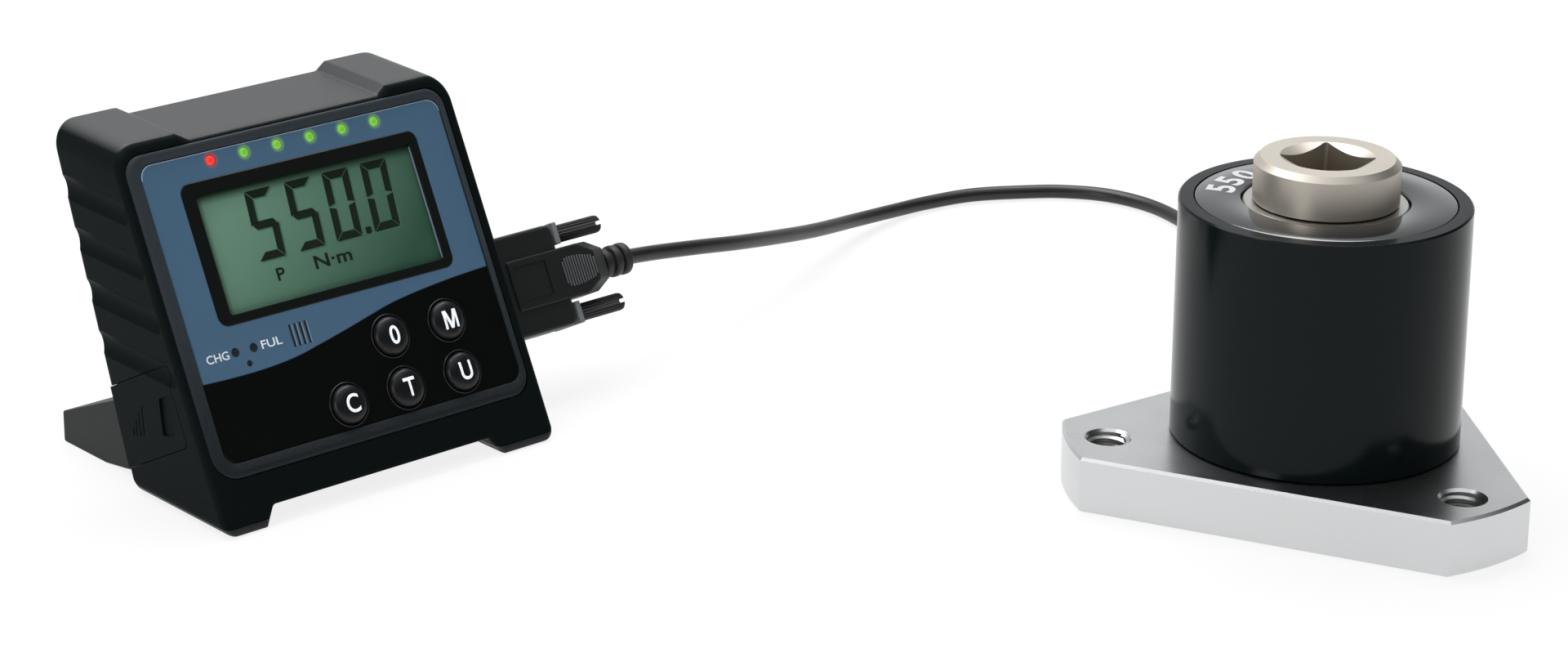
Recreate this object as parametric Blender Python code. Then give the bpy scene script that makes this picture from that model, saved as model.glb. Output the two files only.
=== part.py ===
# Electronic torque tester: a leaning desk display joined by a cable to a reaction torque sensor.
# Sizes are in millimetres and become metres where a mesh is made. +Z is up, the display faces -Y,
# and the origin is the centre of the sensor's underside.

import math

import bmesh
import bpy

MM = 0.001
GAP = 0.3

# Display housing, in the display's own frame: x to the right, z up from the table, n into the housing
DISPLAY_X = -200.3
DISPLAY_Y = 168.3
LEAN = math.radians(27.0)
HALF_WIDTH = 58.4
HEIGHT = 101.5
TOP_RISE = 1.0
BORDER_FRONT = -0.6
PARTING = 4.0
BACK_DEPTH = 41.9
BACK_TAPER = 0.134
WALL = 2.4
SIDE_WALL = 3.5
CORNER = 8.0
FOOT_CORNER = 4.0
EDGE_CHAMFER = 1.2

# Raised ends of the top and the feet below them
END_LEFT = 21.6
END_RIGHT = 21.2
END_SLOPE = 3.8
TOP_RECESS = 2.2
FOOT_LEFT = 14.0
FOOT_RIGHT = 19.0
FOOT_HEIGHT = 5.0
FOOT_STRIP = 2.6

# Grip scoops on both sides
SCOOP_TOP = 87.3
SCOOP_PITCH = 14.1
SCOOP_HEIGHT = 7.0
SCOOP_DEPTH = 1.1
SCOOP_COUNT_LEFT = 4
SCOOP_COUNT_RIGHT = 3

# Heels behind the housing
HEEL_INSET = 5.8
HEEL_WIDTH = 24.0
HEEL_REACH = 93.4
HEEL_TIP = 9.5
HEEL_WALL = 2.4
HEEL_SLOPE = 0.412
HEEL_SOLE = 22.5
HEEL_ARCH = 33.0
HEEL_ARCH_RISE = 1.4
HEEL_ROOT_HEIGHT = 20.0
HEEL_ROOT_DEPTH = 2.1
HEEL_ROOT_STEP = 4.0

# Front panel
PANEL_LEFT = -51.5
PANEL_RIGHT = 52.7
PANEL_LOW = 20.0
PANEL_HIGH = 106.9
PANEL_CORNER = 4.0
PANEL_THICK = 0.8
PLATE_THICK = 2.0
WINDOW_LEFT = -40.7
WINDOW_RIGHT = 41.9
WINDOW_LOW = 57.3
WINDOW_HIGH = 99.2
WINDOW_CORNER = 2.5
WINDOW_THICK = 0.9
GLASS_LEFT = -36.3
GLASS_RIGHT = 39.3
GLASS_LOW = 60.1
GLASS_HIGH = 95.3
LCD_MARGIN = 3.0
LCD_THICK = 4.0

# Lamps, sound holes and buttons
LED_FIRST = -27.9
LED_PITCH = 11.44
LED_DROP = 2.7
LED_COUNT = 6
LED_DIAMETER = 3.2
LAMP_U = 49.8
CHARGE_X = -38.4
FULL_X = -32.2
LAMP_DIAMETER = 2.0
PINHOLE_X = -34.9
PINHOLE_U = 45.8
PINHOLE = 1.4
SLOT_X = -16.2
SLOT_U = 50.1
SLOT_PITCH = 1.6
SLOT_WIDTH = 0.9
SLOT_HEIGHT = 7.0
SLOT_COUNT = 4
BUZZER_DIAMETER = 12.0
BUZZER_HEIGHT = 4.5
BUTTON_X = -7.3
BUTTON_PITCH = 20.3
BUTTON_LOW_U = 26.9
BUTTON_HIGH_U = 42.5
BUTTON_DIAMETER = 11.6
BUTTON_RISE = 2.3
BUTTON_FLANGE = 14.0
BUTTON_TRAVEL = 0.8
BUTTON_STEM = 4.0

# Main board and what holds it
BOARD_DEPTH = 9.0
BOARD_THICK = 1.6
BOARD_HALF = 44.0
BOARD_LOW = 14.0
BOARD_HIGH = 107.5
BOARD_POST_X = 40.0
BOARD_POST_INSET = 3.0
POST_RADIUS = 3.0
SWITCH_SIDE = 6.0

# Case screws
SCREW_INSET = 10.4
SCREW_HIGH_DROP = 16.0
SCREW_LOW_DROP = 48.0
SCREW_POST_RADIUS = 3.6
SCREW_RADIUS = 1.5
SCREW_HEAD_RADIUS = 2.8
SCREW_HEAD = 2.0
SCREW_POST_DEPTH = 14.0

# Battery door on the left side, and the pack behind it
DOOR_FRONT = 6.1
DOOR_LOW_U = 28.2
DOOR_HIGH_U = 51.8
DOOR_THICK = 1.6
DOOR_WRAP = 5.2
DOOR_CORNER = 2.0
DOOR_LEDGE = 2.6
DOOR_TRAVEL = 12.0
DOOR_SLOT_LENGTH = 6.2
DOOR_SLOT_LOW_U = 33.0
DOOR_SLOT_HIGH_U = 43.8
DOOR_SLOT_DEPTH = 0.7
PACK_LENGTH = 48.5
PACK_DEPTH = 24.5
PACK_HEIGHT = 16.5
SHELF = 2.0

# Nine-way connector on the right side, its plug and the two thumbscrews
PORT_DEPTH = 20.0
PORT_U = 47.1
SCREW_SPACING = 25.0
SHELL_LONG = 16.6
SHELL_SHORT = 8.0
SHELL_WALL = 0.9
FLANGE_LONG = 31.0
FLANGE_SHORT = 12.5
FLANGE_THICK = 1.0
SOCKET_BODY = 10.0
SOCKET_REACH = 6.0
HOOD_START = 1.6
HOOD_LENGTH = 34.2
HOOD_LONG = 31.6
HOOD_SHORT = 15.4
HOOD_CORNER = 2.6
TAIL_START = 8.0
TAIL_RAISE = 0.8
TAIL_HALF = 7.9
TAIL_TIP_HALF = 4.6
TAIL_REACH = 15.4
TAIL_SLOPE = 5.8
TAIL_TIP_DEPTH = 5.2
HOOD_RIBS = 5
HOOD_RIB_START = 27.5
HOOD_RIB_PITCH = 2.6
HOOD_RIB_WIDTH = 1.0
HOOD_RIB_DEPTH = 0.5
RING_THICK = 2.2
RING_RADIUS = 3.0
THUMB_RADIUS = 2.6
THUMB_LENGTH = 16.0
THUMB_SHAFT = 1.35
JACK_RADIUS = 2.6
JACK_LENGTH = 5.0
BOOT_LENGTH = 11.7
BOOT_ROOT = 5.0
BOOT_TIP = 4.4
BOOT_SPIGOT = 2.6
BOOT_SPIGOT_LENGTH = 5.0
BOOT_RIBS = 3

# Cable
CABLE_DIAMETER = 4.8
TABLE_GAP = 0.15

# Torque sensor
BASE_THICK = 16.3
BASE_RADIUS = 71.5
BASE_APOTHEM = 48.0
BASE_TURN = math.radians(143.5)
BASE_CHAMFER = 0.8
HOLE_CIRCLE = 59.2
HOLE_DIAMETER = 10.2
HOLE_SINK = 13.6
HOUSING_DIAMETER = 82.0
HOUSING_WALL = 4.2
HOUSING_TOP = 86.0
HOUSING_CHAMFER = 1.2
COVER_THICK = 5.0
COVER_LEDGE = 1.5
COVER_HOLE = 23.6
SHAFT_TOP_DIAMETER = 46.4
SHAFT_TOP_DROP = 0.5
SHAFT_TOP_THICK = 7.0
SHAFT_WAIST = 40.0
SHAFT_FOOT_DIAMETER = 62.0
SHAFT_FOOT_THICK = 9.0
DRIVE_DIAMETER = 41.0
DRIVE_RISE = 11.6
DRIVE_CHAMFER = 1.7
DRIVE_SPIGOT = 33.0
DRIVE_SPIGOT_LENGTH = 22.0
SQUARE_SIDE = 19.3
SQUARE_CORNER = 1.0
SQUARE_DEPTH = 26.0
SQUARE_LEAD = 13.3
SQUARE_LEAD_DEPTH = 1.6
SQUARE_TURN = math.radians(-2.6)
GAUGE_BOARD_OUTER = 29.0
GAUGE_BOARD_INNER = 21.5
GAUGE_BOARD_THICK = 1.6
BASE_SCREW_CIRCLE = 25.5
BASE_SCREW_RADIUS = 2.5
BASE_SCREW_HEAD = 4.6
BASE_SCREW_SINK = 6.0
BASE_SCREW_COUNT = 4
GLAND_TURN = math.radians(50.7)
GLAND_HEIGHT = 12.0
GLAND_RADIUS = 6.6
GLAND_NUT = 4.0
GLAND_REACH = 12.0

# Colours as linear red, green and blue, with roughness and metallic
PLASTIC = ((0.012, 0.012, 0.013), 0.55, 0.0)
RUBBER = ((0.01, 0.01, 0.01), 0.8, 0.0)
PANEL_BLUE = ((0.045, 0.095, 0.17), 0.45, 0.0)
CLEAR_DARK = ((0.01, 0.01, 0.012), 0.1, 0.0)
LCD_GREEN = ((0.13, 0.26, 0.21), 0.25, 0.0)
LAMP_RED = ((0.75, 0.01, 0.01), 0.25, 0.0)
LAMP_GREEN = ((0.07, 0.45, 0.01), 0.25, 0.0)
BOARD_GREEN = ((0.02, 0.12, 0.05), 0.5, 0.0)
STEEL = ((0.55, 0.55, 0.55), 0.35, 1.0)
NICKEL = ((0.68, 0.68, 0.67), 0.3, 1.0)
GREY_PLASTIC = ((0.45, 0.45, 0.45), 0.5, 0.0)
BLACK_ANODISED = ((0.006, 0.006, 0.007), 0.15, 0.3)
WARM_STEEL = ((0.33, 0.28, 0.24), 0.32, 1.0)
WRAP_BLUE = ((0.05, 0.12, 0.3), 0.4, 0.0)

SIN = math.sin(LEAN)
COS = math.cos(LEAN)

# Places that follow from the sizes above
LED_U = PANEL_HIGH - LED_DROP
SCREW_X = HALF_WIDTH - SCREW_INSET
SCREW_HIGH_U = HEIGHT / COS - SCREW_HIGH_DROP
SCREW_LOW_U = HEIGHT / COS - SCREW_LOW_DROP


def clear_scene():
    for thing in list(bpy.data.objects):
        bpy.data.objects.remove(thing)


def material(name, look):
    colour, roughness, metallic = look
    made = bpy.data.materials.new(name)
    made.use_nodes = True
    shader = made.node_tree.nodes["Principled BSDF"]
    shader.inputs["Base Color"].default_value = (*colour, 1.0)
    shader.inputs["Roughness"].default_value = roughness
    shader.inputs["Metallic"].default_value = metallic
    return made


def add_empty(name, location, rotation=(0.0, 0.0, 0.0), parent=None):
    empty = bpy.data.objects.new(name, None)
    bpy.context.scene.collection.objects.link(empty)
    empty.location = [value * MM for value in location]
    empty.rotation_euler = rotation
    empty.parent = parent
    return empty


def add_mesh(name, points, faces, parent=None, look=None, location=(0.0, 0.0, 0.0), rotation=(0.0, 0.0, 0.0)):
    """A closed mesh from points in millimetres, with its faces turned outwards."""
    mesh = bpy.data.meshes.new(name)
    mesh.from_pydata([[value * MM for value in point] for point in points], [], faces)
    form = bmesh.new()
    form.from_mesh(mesh)
    bmesh.ops.recalc_face_normals(form, faces=form.faces)
    form.to_mesh(mesh)
    form.free()
    mesh.shade_smooth()
    mesh.set_sharp_from_angle(angle=math.radians(32))
    made = bpy.data.objects.new(name, mesh)
    bpy.context.scene.collection.objects.link(made)
    made.parent = parent
    made.location = [value * MM for value in location]
    made.rotation_euler = rotation
    if look is None:
        made.hide_render = True
        made.display_type = "WIRE"
    else:
        mesh.materials.append(material(name, look))
    return made


def loft(name, rings, **options):
    """A closed solid through rings of points, each ring with the same count."""
    count = len(rings[0])
    points = [point for ring in rings for point in ring]
    faces = [tuple(range(count)), tuple(range(len(points) - count, len(points)))]
    for level in range(len(rings) - 1):
        start = level * count
        for i in range(count):
            j = (i + 1) % count
            faces.append((start + i, start + j, start + count + j, start + count + i))
    return add_mesh(name, points, faces, **options)


def lathe(name, profile, segments=48, **options):
    """A solid turned about z, from (radius, z) points that start and end on the axis or form a closed ring."""
    closed_ring = all(radius > 0 for radius, _ in profile)
    points = []
    index = []
    for radius, z in profile:
        if radius == 0:
            index.append([len(points)] * segments)
            points.append((0.0, 0.0, z))
            continue
        index.append(list(range(len(points), len(points) + segments)))
        for k in range(segments):
            angle = 2 * math.pi * k / segments
            points.append((radius * math.cos(angle), radius * math.sin(angle), z))
    rows = list(zip(index, index[1:]))
    if closed_ring:
        rows.append((index[-1], index[0]))
    faces = []
    for low, high in rows:
        for k in range(segments):
            j = (k + 1) % segments
            corners = [low[k], low[j], high[j], high[k]]
            faces.append(tuple(dict.fromkeys(corners)))
    return add_mesh(name, points, faces, **options)


def carve(target, cutter, operation="DIFFERENCE"):
    step = target.modifiers.new(cutter.name, "BOOLEAN")
    step.object = cutter
    step.operation = operation
    step.solver = "EXACT"


def join_on(target, addition):
    carve(target, addition, "UNION")


def rounded(corners, steps=4):
    """An outline through (x, z, radius) corners, each turned by an arc of its own radius."""
    outline = []
    count = len(corners)
    for i, (x, z, radius) in enumerate(corners):
        if radius == 0:
            outline.append((x, z))
            continue
        before = corners[i - 1]
        after = corners[(i + 1) % count]
        a = math.atan2(before[1] - z, before[0] - x)
        b = math.atan2(after[1] - z, after[0] - x)
        turn = (b - a + math.pi) % (2 * math.pi) - math.pi
        reach = radius / math.tan(abs(turn) / 2)
        middle = a + turn / 2
        centre_distance = radius / math.sin(abs(turn) / 2)
        cx = x + centre_distance * math.cos(middle)
        cz = z + centre_distance * math.sin(middle)
        start = math.atan2(z + reach * math.sin(a) - cz, x + reach * math.cos(a) - cx)
        end = math.atan2(z + reach * math.sin(b) - cz, x + reach * math.cos(b) - cx)
        sweep = (end - start + math.pi) % (2 * math.pi) - math.pi
        for k in range(steps + 1):
            angle = start + sweep * k / steps
            outline.append((cx + radius * math.cos(angle), cz + radius * math.sin(angle)))
    return outline


def clip(outline, level, keep_above):
    """The part of an outline above or below a height."""
    sign = 1 if keep_above else -1
    kept = []
    for i, (x, z) in enumerate(outline):
        px, pz = outline[i - 1]
        inside = sign * (z - level) >= 0
        was_inside = sign * (pz - level) >= 0
        if inside != was_inside:
            share = (level - pz) / (z - pz)
            kept.append((px + share * (x - px), level))
        if inside:
            kept.append((x, z))
    return kept


def place(x, z, n):
    """A point at height z and depth n behind the panel, in the leaning frame."""
    rise = TOP_RISE * (n / BACK_DEPTH) * max(0.0, 2 * z / HEIGHT - 1)
    return (x, n, (z + rise + n * SIN) / COS)


def lean_from_upright(y, z):
    """Depth and slope distance of a point given by its place behind the front edge and its height."""
    return (y * COS - z * SIN, y * SIN + z * COS)


def back_depth(z):
    return BACK_DEPTH - BACK_TAPER * z


def slab(name, outline, near, far, **options):
    """A level-sided solid between two depths, each a number or a function of height."""
    rings = []
    for depth in (near, far):
        rings.append([place(x, z, depth(z) if callable(depth) else depth) for x, z in outline])
    return loft(name, rings, **options)


def tile(name, outline, near, far, **options):
    """A solid with its sides square to the panel, from (x, u) points."""
    return loft(name, [[(x, n, u) for x, u in outline] for n in (near, far)], **options)


def box_outline(x0, x1, u0, u1, radius=0.0, steps=3):
    return rounded([(x0, u0, radius), (x1, u0, radius), (x1, u1, radius), (x0, u1, radius)], steps)


def disc_outline(x, u, radius, sides=20):
    return [
        (x + radius * math.cos(2 * math.pi * k / sides), u + radius * math.sin(2 * math.pi * k / sides))
        for k in range(sides)
    ]


def body_outline():
    """Front view of the housing, with its raised ends and the recess between its feet."""
    left = -HALF_WIDTH
    right = HALF_WIDTH
    low_top = HEIGHT - TOP_RECESS
    corners = [
        (left, 0.0, FOOT_CORNER),
        (left + FOOT_LEFT, 0.0, 0.0),
        (left + FOOT_LEFT + END_SLOPE, FOOT_HEIGHT, 1.0),
        (right - FOOT_RIGHT - END_SLOPE, FOOT_HEIGHT, 1.0),
        (right - FOOT_RIGHT, 0.0, 0.0),
        (right, 0.0, FOOT_CORNER),
        (right, HEIGHT, CORNER),
        (right - END_RIGHT, HEIGHT, 1.5),
        (right - END_RIGHT - END_SLOPE, low_top, 1.5),
        (left + END_LEFT + END_SLOPE, low_top, 1.5),
        (left + END_LEFT, HEIGHT, 1.5),
        (left, HEIGHT, CORNER),
    ]
    return rounded(corners)


def shrink(outline, amount):
    """The outline moved inwards by an amount, corner by corner."""
    inner = []
    count = len(outline)
    for i, (x, z) in enumerate(outline):
        ax, az = outline[i - 1]
        bx, bz = outline[(i + 1) % count]
        nx = nz = 0.0
        for dx, dz in ((x - ax, z - az), (bx - x, bz - z)):
            length = math.hypot(dx, dz)
            nx -= dz / length
            nz += dx / length
        norm = math.hypot(nx, nz)
        half = norm / 2
        inner.append((x + amount * nx / norm / half, z + amount * nz / norm / half))
    return inner


def cavity_outline():
    """Front view of the hollow inside the housing."""
    left = -HALF_WIDTH + SIDE_WALL
    right = HALF_WIDTH - SIDE_WALL
    return box_outline(left, right, FOOT_HEIGHT + WALL, HEIGHT - TOP_RECESS - WALL, 5.0)


def scoop_outline(side, top):
    """One grip scoop in the front view: an arc let into the side, closed outside the housing."""
    chord = SCOOP_HEIGHT
    radius = (chord * chord / 4 + SCOOP_DEPTH * SCOOP_DEPTH) / (2 * SCOOP_DEPTH)
    half = math.asin(chord / 2 / radius)
    middle = top - chord / 2
    centre = HALF_WIDTH + radius - SCOOP_DEPTH
    points = []
    for k in range(9):
        angle = -half + 2 * half * k / 8
        points.append((side * (centre - radius * math.cos(angle)), middle + radius * math.sin(angle)))
    points.append((side * (HALF_WIDTH + 2), top))
    points.append((side * (HALF_WIDTH + 2), top - chord))
    return points


def button_places():
    """Names and centres of the five buttons."""
    return {
        "button_clear": (BUTTON_X, BUTTON_LOW_U),
        "button_track": (BUTTON_X + BUTTON_PITCH, BUTTON_LOW_U),
        "button_unit": (BUTTON_X + 2 * BUTTON_PITCH, BUTTON_LOW_U),
        "button_zero": (BUTTON_X + BUTTON_PITCH, BUTTON_HIGH_U),
        "button_memory": (BUTTON_X + 2 * BUTTON_PITCH, BUTTON_HIGH_U),
    }


def screw_places():
    return [(side * SCREW_X, u) for u in (SCREW_HIGH_U, SCREW_LOW_U) for side in (-1, 1)]


def slot_places():
    return [SLOT_X + (k - (SLOT_COUNT - 1) / 2) * SLOT_PITCH for k in range(SLOT_COUNT)]


def led_places():
    return [LED_FIRST + k * LED_PITCH for k in range(LED_COUNT)]


def plate_front():
    return PANEL_THICK + GAP


def plate_back():
    return plate_front() + PLATE_THICK


def pierce(target, label, near, far, tilt, clearance):
    """The holes that the panel and the plate behind it share."""
    for name, (x, u) in button_places().items():
        hole = disc_outline(x, u, BUTTON_DIAMETER / 2 + clearance, 24)
        carve(target, tile(f"{label}_{name}_hole", hole, near, far, parent=tilt))
    for k, x in enumerate(led_places()):
        hole = disc_outline(x, LED_U, LED_DIAMETER / 2 + clearance, 12)
        carve(target, tile(f"{label}_led_hole_{k}", hole, near, far, parent=tilt))
    for lamp, x in (("charge", CHARGE_X), ("full", FULL_X)):
        hole = disc_outline(x, LAMP_U, LAMP_DIAMETER / 2 + clearance, 10)
        carve(target, tile(f"{label}_{lamp}_hole", hole, near, far, parent=tilt))
    hole = disc_outline(PINHOLE_X, PINHOLE_U, PINHOLE / 2, 8)
    carve(target, tile(f"{label}_pinhole", hole, near, far, parent=tilt))
    for k, x in enumerate(slot_places()):
        half = SLOT_WIDTH / 2
        slot = box_outline(x - half, x + half, SLOT_U - SLOT_HEIGHT / 2, SLOT_U + SLOT_HEIGHT / 2)
        carve(target, tile(f"{label}_sound_slot_{k}", slot, near, far, parent=tilt))


def front_bezel(tilt):
    """The front frame: border, plate behind the panel, board posts and screw posts."""
    outer = clip(body_outline(), FOOT_STRIP + GAP, True)
    rings = [
        [place(x, z, BORDER_FRONT) for x, z in shrink(outer, EDGE_CHAMFER)],
        [place(x, z, BORDER_FRONT + EDGE_CHAMFER) for x, z in outer],
        [place(x, z, PARTING) for x, z in outer],
    ]
    bezel = loft("front_bezel", rings, parent=tilt, look=PLASTIC)
    recess = box_outline(
        PANEL_LEFT - GAP, PANEL_RIGHT + GAP, PANEL_LOW - GAP, PANEL_HIGH + GAP, PANEL_CORNER + GAP
    )
    carve(bezel, tile("panel_recess", recess, BORDER_FRONT - 1, plate_front(), parent=tilt))
    carve(bezel, slab("bezel_hollow", cavity_outline(), plate_back(), PARTING + 1, parent=tilt))
    opening = box_outline(GLASS_LEFT, GLASS_RIGHT, GLASS_LOW, GLASS_HIGH, 1.0)
    carve(bezel, tile("glass_opening", opening, plate_front() - 1, plate_back() + 1, parent=tilt))
    pierce(bezel, "plate", plate_front() - 1, plate_back() + 1, tilt, GAP)
    for side in (-1, 1):
        for u in (BOARD_LOW + BOARD_POST_INSET, BOARD_HIGH - BOARD_POST_INSET):
            post = disc_outline(side * BOARD_POST_X, u, POST_RADIUS, 12)
            name = f"board_post_{'left' if side < 0 else 'right'}_{u:.0f}"
            join_on(bezel, tile(name, post, plate_back() - 0.5, BOARD_DEPTH - GAP, parent=tilt))
    for k, (x, u) in enumerate(screw_places()):
        post = disc_outline(x, u, SCREW_POST_RADIUS, 16)
        join_on(bezel, tile(f"screw_post_{k}", post, plate_back() - 0.5, SCREW_POST_DEPTH, parent=tilt))
        hole = disc_outline(x, u, SCREW_RADIUS + GAP, 10)
        carve(bezel, tile(f"screw_thread_{k}", hole, plate_back() + 1, SCREW_POST_DEPTH + 1, parent=tilt))
    return bezel


def heel_outline(inset):
    """Side view of a heel, as depth and slope distance, from its toe to inside the housing."""
    inner = BACK_DEPTH + HEEL_ROOT_DEPTH
    root = inner + HEEL_ROOT_STEP
    drop = inset * math.hypot(1.0, HEEL_SLOPE)
    bend = 0.0 if inset else 0.8
    corners = [
        (HEEL_REACH - HEEL_SOLE, inset, 0.0),
        (HEEL_REACH - inset, inset, bend),
        (HEEL_REACH - inset, HEEL_TIP - drop, bend),
        (root, HEEL_TIP + (HEEL_REACH - root) * HEEL_SLOPE - drop, 0.0),
        (inner, HEEL_ROOT_HEIGHT, 0.0),
        (inner, FOOT_HEIGHT + inset, 0.0),
        (HEEL_REACH - HEEL_ARCH, HEEL_ARCH_RISE + inset, 0.0),
    ]
    return [lean_from_upright(y, z) for y, z in rounded(corners, 3)]


def side_prism(name, outline, x0, x1, **options):
    """A solid from a side outline of (n, u) points, between two places across the housing."""
    return loft(name, [[(x, n, u) for n, u in outline] for x in (x0, x1)], **options)


def door_seat_outline(front, back, radius):
    """Side view of the battery door's seat, with its clearance."""
    corners = [
        (front - GAP, DOOR_LOW_U - GAP, radius),
        (back, DOOR_LOW_U - GAP, 0.0),
        (back, DOOR_HIGH_U + GAP, 0.0),
        (front - GAP, DOOR_HIGH_U + GAP, radius),
    ]
    return rounded(corners, 4)


def rear_shell(tilt):
    """The rear moulding: deep shell with grip scoops, heels, battery bay and screw wells."""
    outer = clip(body_outline(), FOOT_STRIP + GAP, True)
    shell = slab("rear_shell", outer, PARTING + GAP, back_depth, parent=tilt, look=PLASTIC)
    for side, label in ((-1, "left"), (1, "right")):
        inner = side * (HALF_WIDTH - HEEL_INSET)
        outline = heel_outline(0.0)
        join_on(shell, side_prism(f"heel_{label}", outline, inner, inner - side * HEEL_WIDTH, parent=tilt))
    hollow = slab(
        "shell_hollow", cavity_outline(), PARTING - 1, lambda z: back_depth(z) - SIDE_WALL, parent=tilt
    )
    carve(shell, hollow)
    for side, label in ((-1, "left"), (1, "right")):
        inner = side * (HALF_WIDTH - HEEL_INSET - HEEL_WALL)
        width = HEEL_WIDTH - 2 * HEEL_WALL
        carve(shell, side_prism(
            f"heel_hollow_{label}", heel_outline(HEEL_WALL), inner, inner - side * width, parent=tilt
        ))
    for side, label, count in ((-1, "left", SCOOP_COUNT_LEFT), (1, "right", SCOOP_COUNT_RIGHT)):
        for k in range(count):
            outline = scoop_outline(side, SCOOP_TOP - k * SCOOP_PITCH)
            carve(shell, slab(f"scoop_{label}_{k}", outline, PARTING - 1, BACK_DEPTH + 4, parent=tilt))
    battery_bay(shell, tilt)
    for k, (x, u) in enumerate(screw_places()):
        screw_well(shell, k, x, u, tilt)
    port = box_outline(-FLANGE_SHORT / 2 - GAP, FLANGE_SHORT / 2 + GAP, -FLANGE_LONG / 2 - GAP, FLANGE_LONG / 2 + GAP, 1.5)
    port = [(PORT_DEPTH + n, PORT_U + u) for n, u in port]
    carve(shell, side_prism("port_opening", port, HALF_WIDTH - SIDE_WALL - 1, HALF_WIDTH + 1, parent=tilt))
    return shell


def battery_bay(shell, tilt):
    """The door's seat, the way through to the pack, and the shelf that the pack lies on."""
    left = -HALF_WIDTH
    back = BACK_DEPTH + 4
    seat = door_seat_outline(DOOR_FRONT, back, DOOR_CORNER)
    carve(shell, side_prism("door_seat", seat, left - 1, left + DOOR_THICK + GAP, parent=tilt))
    wrap = door_seat_outline(back_at(DOOR_HIGH_U) - DOOR_THICK, back, 0.0)
    carve(shell, side_prism("door_wrap_seat", wrap, left - 1, left + DOOR_WRAP + GAP, parent=tilt))
    way = box_outline(
        DOOR_FRONT + DOOR_LEDGE, DOOR_FRONT + DOOR_LEDGE + PACK_DEPTH + 2,
        DOOR_LOW_U + DOOR_LEDGE, DOOR_HIGH_U - DOOR_LEDGE, 1.0,
    )
    carve(shell, side_prism("pack_way", way, left - 1, left + SIDE_WALL + 1, parent=tilt))
    shelf_top = pack_low()
    shelf = [
        (BOARD_DEPTH + BOARD_THICK + 1.0, shelf_top - GAP - SHELF),
        (BACK_DEPTH - SIDE_WALL, shelf_top - GAP - SHELF),
        (BACK_DEPTH - SIDE_WALL, shelf_top - GAP),
        (BOARD_DEPTH + BOARD_THICK + 1.0, shelf_top - GAP),
    ]
    right = left + SIDE_WALL + PACK_LENGTH + 2.0
    join_on(shell, side_prism("pack_shelf", shelf, left + SIDE_WALL - 0.5, right, parent=tilt))


def back_at(u):
    """Depth of the housing's back at a slope distance."""
    n = BACK_DEPTH
    for _ in range(6):
        n = back_depth(u * COS - n * SIN)
    return n


def pack_low():
    return DOOR_LOW_U + DOOR_LEDGE + 1.0


def screw_well(shell, k, x, u, tilt):
    """A post from the back wall to the bezel's post, with a through hole and a sunk head seat."""
    back = back_at(u)
    post = disc_outline(x, u, SCREW_POST_RADIUS, 16)
    join_on(shell, tile(f"well_post_{k}", post, SCREW_POST_DEPTH + GAP, back - 1.0, parent=tilt))
    hole = disc_outline(x, u, SCREW_RADIUS + GAP, 10)
    carve(shell, tile(f"well_hole_{k}", hole, SCREW_POST_DEPTH - 1, back + 3, parent=tilt))
    seat = disc_outline(x, u, SCREW_HEAD_RADIUS + GAP, 16)
    carve(shell, tile(f"well_seat_{k}", seat, back - SCREW_HEAD - 1.0, back + 3, parent=tilt))


def case_screws(tilt):
    """Pan-head screws that run from the back into the bezel's posts."""
    for k, (x, u) in enumerate(screw_places()):
        head_low = back_at(u) - SCREW_HEAD - 1.0 + GAP
        reach = head_low - plate_back() - 3.0
        profile = [
            (0.0, -reach),
            (SCREW_RADIUS, -reach),
            (SCREW_RADIUS, 0.0),
            (SCREW_HEAD_RADIUS, 0.0),
            (SCREW_HEAD_RADIUS, SCREW_HEAD * 0.6),
            (SCREW_HEAD_RADIUS * 0.7, SCREW_HEAD),
            (0.0, SCREW_HEAD),
        ]
        lathe(
            f"case_screw_{k + 1}", profile, 14, parent=tilt, look=STEEL,
            location=(x, head_low, u), rotation=(-math.pi / 2, 0.0, 0.0),
        )


def foot_strips(tilt):
    """The two dark strips that the display stands on, under its raised ends."""
    left = -HALF_WIDTH
    right = HALF_WIDTH
    for name, corners in (
        ("foot_strip_left", [
            (left, 10.0, 0.0), (left, 0.0, FOOT_CORNER), (left + FOOT_LEFT, 0.0, 0.0),
            (left + FOOT_LEFT + 2 * END_SLOPE, 2 * FOOT_HEIGHT, 0.0),
        ]),
        ("foot_strip_right", [
            (right - FOOT_RIGHT - 2 * END_SLOPE, 2 * FOOT_HEIGHT, 0.0), (right - FOOT_RIGHT, 0.0, 0.0),
            (right, 0.0, FOOT_CORNER), (right, 10.0, 0.0),
        ]),
    ):
        outline = clip(rounded(corners), FOOT_STRIP, False)
        slab(name, outline, BORDER_FRONT, back_depth, parent=tilt, look=RUBBER)


def overlay_panel(tilt):
    """The printed front panel, with its window and holes."""
    outline = box_outline(PANEL_LEFT, PANEL_RIGHT, PANEL_LOW, PANEL_HIGH, PANEL_CORNER)
    panel = tile("overlay_panel", outline, 0.0, PANEL_THICK, parent=tilt, look=PANEL_BLUE)
    window = box_outline(
        WINDOW_LEFT - GAP, WINDOW_RIGHT + GAP, WINDOW_LOW - GAP, WINDOW_HIGH + GAP, WINDOW_CORNER + GAP
    )
    carve(panel, tile("panel_window", window, -1.0, PANEL_THICK + 1, parent=tilt))
    pierce(panel, "panel", -1.0, PANEL_THICK + 1, tilt, GAP)


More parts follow.
